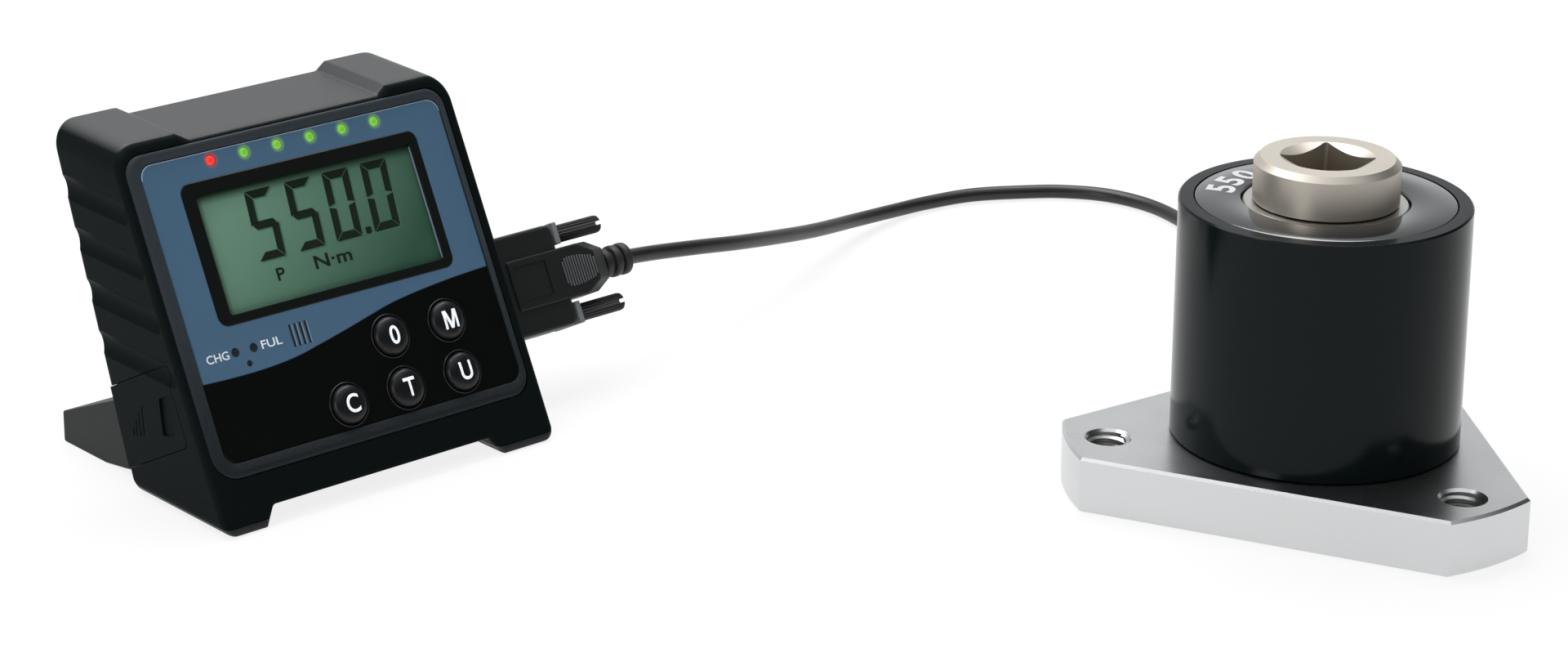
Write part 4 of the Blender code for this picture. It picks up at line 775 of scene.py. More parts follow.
def housing():
    shell = body_loft("housing", SHELL, "black_plastic")
    left = -HALF_WIDTH
    beyond = BACK_DEPTH + 4
    hollow = box_outline(
        left + WALL, HALF_WIDTH - WALL, FOOT_HEIGHT + HOLLOW_MARGIN, HEIGHT - TOP_RECESS - HOLLOW_MARGIN, 5.0,
    )
    hollow_rings = level_rings(hollow, [(0.0, 4.0), (0.0, lambda z: back_depth(z) - WALL)], place)
    cuts = [
        tile_cutter("cut_frame", bezel_outline(LINE), FRONT - 3, 5.0),
        upright_box("cut_foot", -70.0, 70.0, -5.0, FOOT_STRIP + LINE / 2),
        cutter("cut_hollow", hollow_rings),
    ]
    for side, count in ((-1, SCOOPS_LEFT), (1, SCOOPS_RIGHT)):
        cuts += [scoop_cutter(f"cut_scoop_{side + 1}_{k}", side, k) for k in range(count)]
    seat = door_seat(DOOR[0], beyond, 2.0, LINE)
    cuts.append(side_cutter("cut_door", seat, left - 1, left + DOOR_THICK + LINE))
    wrap = door_seat(back_at(DOOR[2]) - DOOR_THICK, beyond, 0.0, LINE)
    cuts.append(side_cutter("cut_wrap", wrap, left - 1, left + DOOR_WRAP + LINE))
    way = box_outline(DOOR[0] + 2.6, DOOR[0] + 27.1, DOOR[1] + 2.6, DOOR[2] - 2.6, 1.0)
    cuts.append(side_cutter("cut_way", way, left - 1, left + WALL + 1))
    for k, (x, u) in enumerate(screw_places()):
        well = disc(x, u, SCREW_WELL, 32)
        cuts.append(tile_cutter(f"cut_well_{k}", well, back_at(u) - 3.0, back_at(u) + 3))
    port = box_outline(
        PORT_DEPTH - PORT_HALF_SHORT, PORT_DEPTH + PORT_HALF_SHORT,
        PORT_U - PORT_HALF_LONG, PORT_U + PORT_HALF_LONG, 1.5,
    )
    cuts.append(side_cutter("cut_port", port, HALF_WIDTH - WALL - 1, HALF_WIDTH + 1))
    settle(shell, cuts, bevel=0.35, segments=2)
    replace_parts(shell, "rear_shell")


def feet():
    for side, (x0, x1) in {"left": (0.0, 70.0), "right": (-70.0, 0.0)}.items():
        strip = body_loft(f"foot_{side}", FOOT, "black_rubber")
        cuts = [
            upright_box("cut_above", -80.0, 80.0, FOOT_STRIP - LINE / 2, 130.0),
            upright_box("cut_across", x0, x1, -5.0, 20.0),
        ]
        settle(strip, cuts, bevel=0.3, segments=2)
        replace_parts(strip, f"foot_strip_{side}")


def heels():
    """The two heels that carry the lean to the table."""
    inner = BACK_DEPTH - 2.0
    corners = [
        (HEEL_REACH - 22.5, 0.0, 6.0), (HEEL_REACH, 0.0, 0.8), (HEEL_REACH, HEEL_TIP, 0.8),
        (inner, HEEL_TIP + (HEEL_REACH - inner) * HEEL_SLOPE, 0.0), (inner, FOOT_HEIGHT, 0.0),
        (HEEL_REACH - 33.0, 1.4, 2.0),
    ]
    outline = [(y * COS - z * SIN, y * SIN + z * COS) for y, z in rounded(corners, 4)]
    for side, label in ((-1, "left"), (1, "right")):
        outer = side * (HALF_WIDTH - HEEL_INSET)
        far = outer - side * HEEL_WIDTH
        heel = side_prism(f"heel_{label}", outline, [(0.0, outer), (0.0, far)], HEEL, slot="black_plastic")
        settle(heel, bevel=0.5, segments=3)


def front_holes(sides, lamp_radius, far):
    """Cutters for the buttons and the row of lamps."""
    buttons_cut = [disc(x, u, BUTTON_RADIUS + GAP, sides) for x, u in button_places().values()]
    lamps_cut = [disc(x, LED_U, lamp_radius, 32) for x in led_places()]
    return [tile_cutter("cut_front", outline, -2.0, far) for outline in buttons_cut + lamps_cut]


def front_frame():
    """The inset frame: a band that slopes forward to a soft crease and one that slopes back to the panel."""
    outer = bezel_outline()
    inner = grown(PANEL, LINE, PANEL_CORNER + LINE, 10)
    rings = []
    for share, n in BEZEL_BANDS:
        rings.append([
            (ax + share * (bx - ax), n, au + share * (bu - au)) for (ax, au), (bx, bu) in zip(outer, inner)
        ])
    made = loft("front_frame", rings, FRAME, matrix=TILT, slot="black_plastic", sharp=25.0)
    opening = tile_cutter("cut_opening", grown(GLASS, 0.3, 1.0), -2.0, 6.0)
    settle(made, [opening] + front_holes(48, 1.9, 6.0), sharp=25.0)
    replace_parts(made, "front_bezel")


# Panel

def button_places():
    low, high = BUTTON_ROWS
    first, second, third = (BUTTON_X + k * BUTTON_PITCH for k in range(3))
    return {
        "clear": (first, low), "track": (second, low), "unit": (third, low),
        "zero": (second, high), "memory": (third, high),
    }


def led_places():
    return [LED_X + k * LED_PITCH for k in range(6)]


def panel():
    outline = grown(PANEL, 0.0, PANEL_CORNER, 12)
    levels = [(0.0, 0.35), (0.0, 0.2), (0.25, 0.0)]
    made = tile("printed_panel", outline, levels, panel_finish(), slot="panel_blue")
    holes = [disc(*where, LAMP_HOLE, 24) for where in (CHARGE, FULL)]
    holes.append(disc(*PINHOLE, PINHOLE_RADIUS, 20))
    for x, low, high in slot_bars():
        holes.append(box_outline(x - SLOT_HALF_WIDE, x + SLOT_HALF_WIDE, low, high, 0.2, 3))
    cuts = [tile_cutter("cut_window", grown(WINDOW, 0.05, WINDOW_CORNER), -2.0, 2.0)]
    cuts += front_holes(64, LED_HOLE, 2.0)
    cuts += [tile_cutter("cut_panel", hole, -2.0, 2.0) for hole in holes]
    settle(made, cuts, sharp=25.0)
    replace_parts(made, "overlay_panel")
    draw_slot_highlights()
    draw_panel_edge_highlight(outline)
    # Black sheets behind the panel's holes and round the buttons: painted shade inside the housing
    tile("panel_shade_sheet", grown(PANEL_WELLS, 0.0, 1.0), DARK_BACKING, DARK, slot="black_plastic")
    for name, (x, u) in button_places().items():
        tile(f"well_{name}", disc(x, u, BUTTON_WELL), DARK_BACKING, DARK, slot="black_plastic")


def draw_panel_edge_highlight(outline):
    """Painted highlight: a light line on the panel's bevelled edge along its left and its top."""
    middle = 63.0
    points = []
    kept = [(x, u) for x, u in outline if (x < PANEL[0] + 1.0 and u > 43.0) or u > 100.0]
    kept.sort(key=lambda place_of: math.atan2(place_of[1] - middle, place_of[0]) % (2 * math.pi))
    for x, u in kept:
        length = math.hypot(x, u - middle)
        dx, du = -x / length, -(u - middle) / length
        points.append((x + dx * 0.1, -0.02, u + du * 0.1))
        points.append((x + dx * 0.42, -0.06, u + du * 0.42))
    faces = [(a, a + 2, a + 3, a + 1) for a in range(0, 2 * len(kept) - 2, 2)]
    add_piece("painted_highlight_panel_line", points, faces, PANEL_EDGE_HIGHLIGHT, matrix=TILT, slot="panel_blue")


def slot_bars():
    """The sound slots, as place across, low and high."""
    places = [SLOT[0] + (k - (SLOT_COUNT - 1) / 2) * SLOT_PITCH for k in range(SLOT_COUNT)]
    return [(x, SLOT[1] - SLOT_HALF_HIGH, SLOT[1] + SLOT_HALF_HIGH) for x in places]


def draw_slot_highlights():
    """Painted highlight: the light edge that each sound slot shows on its right."""
    for k, (x, low, high) in enumerate(slot_bars()):
        line = box_outline(x + 0.44, x + 0.72, low + 0.2, high - 0.1, 0.1, 2)
        tile(f"painted_edge_highlight_{k}", line, [(0.0, 0.1), (0.0, -0.04)], SLOT_AND_GLASS_HIGHLIGHT, slot="panel_blue")


def window():
    outline = grown(WINDOW, 0.0, WINDOW_CORNER, 12)
    made = tile("window_frame", outline, [(0.0, 0.9), (0.0, 0.05), (0.2, -0.08)], BORDER, slot="window")
    settle(made, [tile_cutter("cut_glass", grown(GLASS, 0.0, 0.8), -2.0, 3.0)], sharp=25.0)
    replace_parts(made, "lcd_window")
    levels = [(0.0, LCD_N + 2.0), (0.0, LCD_N)]
    crystal = tile("crystal_plane", grown(GLASS, 1.2, 0.5), levels, crystal_finish(), slot="lcd")
    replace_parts(crystal, "lcd_panel")
    # Painted highlight along the glass's inner right edge
    highlight_line = box_outline(GLASS[1] - 0.42, GLASS[1] - 0.02, GLASS[2] + 0.4, GLASS[3] - 0.6, 0.05, 2)
    tile("glass_painted_highlight_right", highlight_line, DARK_BACKING, SLOT_AND_GLASS_HIGHLIGHT, slot="window")
    digits()


def segment_shapes(letter):
    """The outline of each lit bar of one digit, about its lower left corner."""
    w, h, t = DIGIT_WIDTH, DIGIT_HIGH - DIGIT_LOW, SEGMENT_WIDE
    m = h / 2
    g = 0.16
    near, far = t * 0.7, w - t * 0.7
    bars = {
        "a": [(g, h), (w - g, h), (w - t - g, h - t), (t + g, h - t)],
        "d": [(t + g, t), (w - t - g, t), (w - g, 0), (g, 0)],
        "f": [(0, m + g), (0, h - g), (t, h - t - g), (t, m + t / 4 + g)],
        "b": [(w - t, m + t / 4 + g), (w - t, h - t - g), (w, h - g), (w, m + g)],
        "e": [(0, g), (0, m - g), (t, m - t / 4 - g), (t, t + g)],
        "c": [(w - t, t + g), (w - t, m - t / 4 - g), (w, m - g), (w, g)],
        "g": [
            (g + 0.5, m), (near, m + t / 2), (far, m + t / 2),
            (w - g - 0.5, m), (far, m - t / 2), (near, m - t / 2),
        ],
    }
    return [bars[key] for key in SEGMENTS[letter]]


def digits():
    """The lit segments with the point between the last two, their shade below them, and the unit."""
    lit = []
    for letter, left in DIGITS:
        for bar in segment_shapes(letter):
            lit.append([(left + x + SLANT * y, DIGIT_LOW + y) for x, y in bar])
    lit.append(box_outline(*POINT, 0.5, 4))
    shade = [[(x + SHADE_SHIFT[0], u + SHADE_SHIFT[1]) for x, u in bar] for bar in lit]
    for name, shapes, n, look in (
        ("segments", lit, LCD_N - 0.06, SEGMENT), ("segment_shade", shade, LCD_N - 0.02, SEGMENT_SHADE),
    ):
        points = []
        faces = []
        for bar in shapes:
            faces.append(tuple(range(len(points), len(points) + len(bar))))
            points += [(x, n, u) for x, u in bar]
        add_piece(name, points, faces, look, matrix=TILT, slot="lcd")
    for name, (text, box) in UNITS.items():
        lettering(name, text, box, LCD_N - 0.05, SEGMENT, bold=0.02)


# Letters

# Letters of straight strokes, each stroke by its four corners in a box of one by one
GLYPHS = {
    "T": [
        [(0.0, 1.0), (0.0, 0.82), (1.0, 0.82), (1.0, 1.0)],
        [(0.4, 0.82), (0.4, 0.0), (0.6, 0.0), (0.6, 0.82)],
    ],
    "M": [
        [(0.0, 0.0), (0.17, 0.0), (0.17, 1.0), (0.0, 1.0)],
        [(0.83, 0.0), (1.0, 0.0), (1.0, 1.0), (0.83, 1.0)],
        [(0.04, 1.0), (0.26, 1.0), (0.6, 0.0), (0.4, 0.0)],
        [(0.74, 1.0), (0.96, 1.0), (0.6, 0.0), (0.4, 0.0)],
    ],
}
GLYPH_STEPS = 6


def stroke_letter(letter):
    """The points and faces of a letter of straight strokes, fine enough to lie on a dome."""
    points = []
    faces = []
    row = GLYPH_STEPS + 1
    for stroke in GLYPHS[letter]:
        base = len(points)
        for i in range(row):
            for j in range(row):
                p, q = i / GLYPH_STEPS, j / GLYPH_STEPS
                weights = ((1 - p) * (1 - q), p * (1 - q), p * q, (1 - p) * q)
                points.append(tuple(sum(w * corner[k] for w, corner in zip(weights, stroke)) for k in (0, 1)))
        for i in range(GLYPH_STEPS):
            for j in range(GLYPH_STEPS):
                k = base + i * row + j
                faces.append((k, k + 1, k + row + 1, k + row))
    return points, faces


def type_letters(text, bold):
    """The points and faces of the built-in letters, flat and cut fine enough to lie on a dome."""
    curve = bpy.data.curves.new("letters", "FONT")
    curve.body = text
    curve.offset = bold
    curve.resolution_u = 8
    holder = bpy.data.objects.new("letters", curve)
    bpy.context.scene.collection.objects.link(holder)
    bpy.context.view_layer.update()
    graph = bpy.context.evaluated_depsgraph_get()
    mesh = bpy.data.meshes.new_from_object(holder.evaluated_get(graph))
    bpy.data.objects.remove(holder)
    form = bmesh.new()
    form.from_mesh(mesh)
    bmesh.ops.triangulate(form, faces=form.faces)
    for _ in range(2):
        long = [edge for edge in form.edges if edge.calc_length() > 0.12]
        bmesh.ops.subdivide_edges(form, edges=long, cuts=1)
        bmesh.ops.triangulate(form, faces=form.faces)
    form.to_mesh(mesh)
    form.free()
    points = [(vertex.co.x, vertex.co.y) for vertex in mesh.vertices]
    return points, [tuple(polygon.vertices) for polygon in mesh.polygons]


def fitted(text, bold, box):
    """A text's points stretched to a box of left, right, low and high, and its faces."""
    flat, faces = stroke_letter(text) if text in GLYPHS else type_letters(text, bold)
    left, right, low, high = box
    xs, ys = zip(*flat)
    x0, y0 = min(xs), min(ys)
    across = (right - left) / (max(xs) - x0)
    up = (high - low) / (max(ys) - y0)
    return [(left + (x - x0) * across, low + (y - y0) * up) for x, y in flat], faces


def lettering(name, text, box, depth, look, bold=0.02, body="tester", slot=None):
    """Letters on the panel's plane, or at a depth that a function gives for each point."""
    flat, faces = fitted(text, bold, box)
    points = [(x, depth(x, u) if callable(depth) else depth, u) for x, u in flat]
    add_piece(name, points, faces, look, matrix=TILT, body=body, slot=slot)


def cover_letter(name, letter, angle):
    """A range digit on the sensor's cover, with its head away from the axis."""
    flat, faces = fitted(letter, 0.028, (-3.0, 3.0, -4.1, 4.1))
    c, s = math.cos(angle), math.sin(angle)
    points = []
    for x, y in flat:
        reach = RANGE_RADIUS + y
        points.append((c * reach + s * x, s * reach - c * x, HOUSING_TOP + 0.04))
    add_piece(name, points, faces, COVER_LETTER, slot="anodised_black")


# Buttons and lamps

DOME = (
    (0.0, -2.3), (1.2, -2.29), (2.2, -2.25), (3.1, -2.16), (3.9, -2.0), (4.6, -1.76), (5.1, -1.45),
    (5.45, -1.05), (5.68, -0.55), (5.8, 0.0), (5.8, 2.6),
)
BUTTON_FLANGE = ((7.0, 2.6), (7.0, 3.4), (0.0, 3.4))
BUTTON_RIM = ((6.1, 0.2), (6.12, -0.1), (6.25, -0.22), (6.45, -0.2), (6.6, -0.02), (6.6, 0.2))
BUTTON_LETTERS = {
    "clear": ("C", 4.4), "track": ("T", 4.0), "unit": ("U", 4.1), "zero": ("0", 3.3), "memory": ("M", 4.8),
}
BULB = ((0.0, -0.15), (0.6, -0.1), (1.05, 0.05), (1.35, 0.3), (1.45, 0.7), (1.45, 3.0), (0.0, 3.0))
SMALL_BULB = ((0.0, 0.35), (0.5, 0.4), (0.9, 0.6), (1.05, 1.0), (1.05, 3.0), (0.0, 3.0))
HALO = ((0.0, -0.04), (3.4, -0.04))


def dome_depth(radius):
    for (r0, n0), (r1, n1) in zip(DOME, DOME[1:]):
        if radius <= r1:
            return n0 + (n1 - n0) * (radius - r0) / (r1 - r0)
    return DOME[-1][1]


def facing(x, u):
    """The turn and place of a piece that was turned about its z axis and points into the housing."""
    return TILT @ Matrix.Translation(Vector((x, 0.0, u)) * MM) @ Matrix.Rotation(-math.pi / 2, 4, "X")


def buttons():
    for name, (x, u) in button_places().items():
        at = facing(x, u)
        rides = {"body": f"button_{name}_body", "slot": "black_rubber"}
        cap = lathe(f"cap_{name}", DOME + BUTTON_FLANGE, BUTTON, matrix=at, sharp=40.0, **rides)
        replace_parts(cap, f"button_{name}")
        letter, wide = BUTTON_LETTERS[name]
        box = (x - wide / 2, x + wide / 2, u - BUTTON_LETTER, u + BUTTON_LETTER)

        def above(a, b, x=x, u=u):
            return dome_depth(math.hypot(a - x, b - u)) - 0.05

        lettering(f"letter_{name}", letter, box, above, LETTER, bold=0.014, **rides)
        lathe(f"button_rim_{name}", BUTTON_RIM, BUTTON_RING, matrix=at, slot="black_rubber", sharp=60.0)


def lamps():
    for k, x in enumerate(led_places()):
        node, slot, look, colour = f"led_green_{k}", "lamp_green", GREEN, GREEN_HALO
        if k == 0:
            node, slot, look, colour = "led_red", "lamp_red", RED, RED_HALO
        bulb = lathe(f"bulb_{k}", BULB, look, 40, matrix=facing(x, LED_U), slot=slot, sharp=60.0)
        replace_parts(bulb, node)
        lathe(f"halo_{k}", HALO, halo_finish(f"halo_{k}", colour), 40, matrix=facing(x, LED_U), slot=slot)
    for node, where, slot in (("charge_lamp", CHARGE, "lamp_red"), ("full_lamp", FULL, "lamp_green")):
        bulb = lathe(f"small_{node}", SMALL_BULB, LAMP_DARK, 24, matrix=facing(*where), slot=slot, sharp=60.0)
        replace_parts(bulb, node)


# Battery door

def battery_door():
    left = -HALF_WIDTH
    front, bottom, top = DOOR
    low = back_at(bottom) - 0.4
    high = back_at(top) - 0.4
    outline = rounded([(front, bottom, 2.0), (low, bottom, 0.0), (high, top, 0.0), (front, top, 2.0)], 10)
    levels = [(0.0, left), (0.0, left + DOOR_THICK)]
    door = side_prism("door", outline, levels, SHELL, body="battery_door_body", slot="black_plastic")
    wrap = [(low - DOOR_THICK, bottom), (low, bottom), (high, top), (high - DOOR_THICK, top)]
    joins = [side_cutter("join_wrap", wrap, left + 0.1, left + DOOR_WRAP)]
    slot = rounded([(n, u, 0.6) for n, u in DOOR_SLOT], 5)
    cuts = [
        side_cutter("cut_slot", slot, left - 1, left + 0.7),
        scoop_cutter("cut_door_scoop", -1, SCOOPS_LEFT - 1),
    ]
    for k, (n, high_u, low_u) in enumerate(GRIP_BARS):
        far = n + (high_u - low_u) * GRIP_SLANT
        bar = [(n, high_u), (n + GRIP_WIDE, high_u - 0.2), (far + GRIP_WIDE, low_u - 0.2), (far, low_u)]
        cuts.append(side_cutter(f"cut_bar_{k}", bar, left - 1, left + 0.35))
    settle(door, cuts, joins, bevel=0.22, segments=2)
    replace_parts(door, "battery_door")


# Connector

def across(x, u=PORT_U):
    """The turn and place of a piece turned about its z axis that runs to the right from the housing."""
    return TILT @ Matrix.Translation(Vector((x, PORT_DEPTH, u)) * MM) @ Matrix.Rotation(math.pi / 2, 4, "Y")


def hood_tail(end, grow):
    """The raised middle of the hood up to its narrowed end."""
    start = TAIL_START - grow
    half = TAIL_HALF + grow
    tip = TAIL_TIP + grow
    turn = end - TAIL_NARROWING
    return rounded([
        (start, PORT_U - half, 1.0), (turn, PORT_U - half, 1.4), (end, PORT_U - tip, 1.2),
        (end, PORT_U + tip, 1.2), (turn, PORT_U + half, 1.4), (start, PORT_U + half, 1.0),
    ], 5)


def hood():
    """Two moulded halves: a wide body, a raised middle that runs on past the screws, ribs and a recess."""
    outline = rounded([
        (HOOD_FACE, PORT_U - HOOD_HALF_LONG, 1.2), (HOOD_ROOT, PORT_U - HOOD_HALF_LONG, 2.6),
        (HOOD_ROOT, PORT_U + HOOD_HALF_LONG, 2.6), (HOOD_FACE, PORT_U + HOOD_HALF_LONG, 1.2),
    ], 8)
    mouth = rounded([
        (PORT_DEPTH - 5.6, PORT_U - 10.0, 1.6), (PORT_DEPTH + 5.6, PORT_U - 8.8, 1.6),
        (PORT_DEPTH + 5.6, PORT_U + 8.8, 1.6), (PORT_DEPTH - 5.6, PORT_U + 10.0, 1.6),
    ])
    recess = box_outline(HOOD_FACE + 9.6, HOOD_FACE + 21.8, PORT_U - 5.4, PORT_U + 5.6, 0.8, 4)
    for label, side in (("front", -1), ("back", 1)):
        outer = PORT_DEPTH + side * HOOD_HALF_SHORT
        seam = PORT_DEPTH + side * 0.1
        top = outer + side * 0.8
        levels = [
            (0.3, seam), (0.0, seam + side * 0.3), (0.0, outer - side * 1.6),
            (0.35, outer - side * 0.6), (1.4, outer),
        ]
        half = tile(f"hood_{label}", outline, levels, HOOD, slot="black_plastic")
        rings = []
        for n, short, grow in (
            (top, 6.4, -0.9), (outer + side * 0.45, 5.9, -0.2), (outer - side * 0.2, 5.4, 0.0),
            (PORT_DEPTH + side * 5.2, 0.6, 0.0), (PORT_DEPTH + side * 4.4, 0.0, 0.0), (seam, 0.0, 0.0),
        ):
            rings += level_rings(hood_tail(HOOD_TIP - short, grow), [(0.0, n)])
        ways = [disc(PORT_DEPTH, u, SCREW_WAY, 24) for _, u in screw_rows()]
        cuts = [side_cutter("cut_way", way, HOOD_FACE - 1, HOOD_ROOT + 1) for way in ways]
        cuts.append(side_cutter("cut_mouth", mouth, HOOD_FACE - 1, HOOD_FACE + 6.6))
        cuts.append(side_cutter("cut_root", disc(PORT_DEPTH, PORT_U, 2.9, 24), HOOD_TIP - 5.3, HOOD_TIP + 1))
        cuts.append(tile_cutter("cut_label", recess, *sorted((top + side * 1.0, top - side * 0.3))))
        settle(half, cuts, [cutter(f"join_tail_{label}", rings)], bevel=0.25, segments=2)
        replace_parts(half, f"plug_hood_{label}")
        # Each rib is light grey, a painted highlight on ribs of the hood's own black plastic
        for k, reach in enumerate(RIB_REACH):
            x = RIB_START + RIB_PITCH * k
            bar = box_outline(x, x + 0.5, PORT_U - reach, PORT_U + reach, 0.2, 3)
            levels = [(0.0, top - side * 0.1), (0.0, top + side * 0.12), (0.12, top + side * 0.25)]
            tile(f"hood_rib_{label}_{k}", bar, levels, RIB, slot="black_plastic")


def screw_rows():
    return ("upper", PORT_U + SCREW_SPACING / 2), ("lower", PORT_U - SCREW_SPACING / 2)


def thumbscrews():
    """Fluted heads with a slotted end, each on a shank through the hood and over a light collar."""
    start = HALF_WIDTH - HOOD_ROOT + 1.5
    head = THUMB_START
    end = head + THUMB_LENGTH
    shank = THUMB_SHANK
    wide = THUMB_RADIUS
    profile = [
        (0.02, start, 0), (shank - 0.15, start, 0), (shank, start + 0.3, 0), (shank, head, 0),
        (wide - 0.55, head + 0.01, 0), (wide - 0.15, head + 0.25, 0), (wide, head + 0.9, 1),
        (wide, end - 0.6, 1), (wide - 0.15, end - 0.15, 0), (wide - 0.35, end, 0), (0.02, end, 0),
    ]
    turns = [2 * math.pi * k / THUMB_SIDES for k in range(THUMB_SIDES)]
    rings = []
    for radius, z, fluted in profile:
        ring = []
        for turn in turns:
            reach = radius - FLUTE_DEPTH * fluted * (0.5 - 0.5 * math.cos(THUMB_FLUTES * turn)) ** 0.7
            ring.append((reach * math.cos(turn), reach * math.sin(turn), z))
        rings.append(ring)
    for label, u in screw_rows():
        at = across(HOOD_ROOT, u)
        body = f"thumbscrew_{label}_body"
        screw = loft(f"thumb_{label}", rings, THUMB, matrix=at, body=body, slot="black_plastic", sharp=28.0)
        slot = post_cutter(f"cut_thumb_{label}", box_outline(-0.6, 0.6, -4.0, 4.0), end - 2.0, end + 1.0, at)
        settle(screw, [slot], sharp=28.0)
        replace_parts(screw, f"thumbscrew_{label}")
        collar = box_outline(HOOD_ROOT + 0.25, HOOD_ROOT + 2.4, u - COLLAR_HALF, u + COLLAR_HALF, 0.4, 3)
        near = PORT_DEPTH - HOOD_HALF_SHORT + 0.3
        far = PORT_DEPTH + HOOD_HALF_SHORT - 0.3
        levels = [(0.3, near), (0.0, near + 0.4), (0.0, far - 0.4), (0.3, far)]
        ring = tile(f"ring_{label}", collar, levels, RING, slot="grey_plastic")
        way = disc(PORT_DEPTH, u, SCREW_WAY, 24)
        settle(ring, [side_cutter(f"cut_ring_{label}", way, HOOD_ROOT - 1, HOOD_ROOT + 4)], sharp=40.0)
        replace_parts(ring, f"thumb_ring_{label}")


def boot():
    """The ribbed strain relief: three rings on a neck."""
    neck = BOOT_NECK
    profile = [(0.0, -5.0), (2.6, -5.0), (2.6, 0.3), (neck, 0.3)]
    for k, radius in enumerate(BOOT_RINGS):
        at = 0.6 + BOOT_PITCH * k
        profile += [
            (neck, at), (radius - 0.5, at + 0.05), (radius - 0.1, at + 0.4), (radius, at + 0.9),
            (radius, at + 1.9), (radius - 0.1, at + 2.4), (radius - 0.5, at + 2.75), (neck, at + 2.8),
        ]
    profile += [(3.3, BOOT_LENGTH - 0.2), (2.9, BOOT_LENGTH), (0.0, BOOT_LENGTH)]
    made = lathe("boot", profile, BOOT, matrix=across(HOOD_TIP), slot="black_rubber", sharp=60.0)
    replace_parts(made, "cable_boot")


# Cable

def boot_end():
    x = HOOD_TIP + BOOT_LENGTH
    y = PORT_DEPTH * COS + PORT_U * SIN
    z = PORT_U * COS - PORT_DEPTH * SIN
    return (DISPLAY_X + x, DISPLAY_Y + y, z)


def gland_point(distance):
    return (distance * math.cos(GLAND_TURN), distance * math.sin(GLAND_TURN), GLAND_HEIGHT)


def cable_route():
    """Points from the boot, down to the table, round behind the sensor and into its gland."""
    x, y, z = boot_end()
    flat = CABLE_DIAMETER / 2 + 0.15
    gland_end = HOUSING_RADIUS + 12.0
    return [
        (x + GAP, y, z), (x + 13.0, y + 1.3, z - 1.7),
        (-50.0, 210.4, 28.3), (-29.0, 214.8, 24.0), (-2.0, 224.4, 17.6), (22.5, 234.3, 11.8),
        (50.0, 245.0, 6.4), (75.0, 250.5, 3.3), (91.0, 250.8, flat), (108.3, 246.8, flat),
        (124.4, 237.3, flat), (135.1, 228.6, flat), (143.5, 216.0, flat), (146.3, 200.0, flat),
        (143.3, 182.9, flat), (134.0, 160.0, flat), (118.0, 132.0, flat), (99.0, 108.0, flat + 0.6),
        (78.0, 88.0, 7.0), (60.0, 72.0, 17.0), gland_point(gland_end + 20.0)[:2] + (25.0,),
        gland_point(gland_end + 9.0), gland_point(gland_end + GAP),
    ]


def smooth(points, steps):
    """Places on a smooth curve through the given points."""
    dense = []
    count = len(points)
    for i in range(count - 1):
        before, start = points[max(i - 1, 0)], points[i]
        end, after = points[i + 1], points[min(i + 2, count - 1)]
        for k in range(steps):
            t = k / steps
            dense.append(tuple(
                0.5 * (
                    2 * b + (c - a) * t + (2 * a - 5 * b + 4 * c - d) * t * t
                    + (3 * b - a - 3 * c + d) * t ** 3
                )
                for a, b, c, d in zip(before, start, end, after)
            ))
    dense.append(points[-1])
    return dense


def cable():
    curve = bpy.data.curves.new("cord_line", "CURVE")
    curve.dimensions = "3D"
    curve.bevel_depth = CABLE_DIAMETER / 2 * MM
    curve.bevel_resolution = 8
    curve.use_fill_caps = True
    places = smooth(cable_route(), 8)
    line = curve.splines.new("POLY")
    line.points.add(len(places) - 1)
    for point, (x, y, z) in zip(line.points, places):
        point.co = (x * MM, y * MM, z * MM, 1.0)
    line.use_smooth = True
    curve.materials.append(JACKET)
    made = bpy.data.objects.new("cord", curve)
    bpy.context.scene.collection.objects.link(made)
    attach(made, "tester")
    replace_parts(made, "cable")


# Torque sensor

def on_circle(radius, angle):
    return radius * math.cos(angle), radius * math.sin(angle)


def base():
    """The three-cornered flange with its tapped holes and the wells of the screws below."""
    corners = [BASE_TURN + k * 2 * math.pi / 3 for k in range(3)]
    half_arc = math.pi / 3 - math.acos(BASE_APOTHEM / BASE_RADIUS)
    outline = []
    for middle in corners:
        outline += [on_circle(BASE_RADIUS, middle - half_arc + 2 * half_arc * k / 32) for k in range(33)]
    levels = [(BASE_SOFT, 0.0), (0.0, BASE_SOFT), (0.0, BASE_THICK - BASE_SOFT), (BASE_SOFT, BASE_THICK)]
    rings = level_rings(outline, levels, on_table)
    plate = loft("flange", rings, PLATE, slot="plate_steel", sharp=20.0)
    bore = HOLE_RADIUS + THREAD_DEPTH
    cuts = []
    for k, angle in enumerate(corners):
        x, y = on_circle(HOLE_CIRCLE, angle)
        rings = []
        steps = ((-1.0, bore), (BASE_THICK - HOLE_SINK + bore, bore), (BASE_THICK + 0.5, HOLE_SINK + 0.5))
        for z, radius in steps:
            rings += level_rings(disc(x, y, radius, 96), [(0.0, z)], on_table)
        cuts.append(cutter(f"cut_hole_{k}", rings, UPRIGHT))
        thread(f"thread_{k}", x, y)
    for k in range(4):
        x, y = on_circle(BASE_SCREW_CIRCLE, BASE_TURN + math.pi / 4 + k * math.pi / 2)
        cuts.append(post_cutter(f"cut_screw_{k}", disc(x, y, BASE_SCREW_WELL), -1.0, 6.0))
    settle(plate, cuts, sharp=20.0)
    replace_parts(plate, "base_plate")


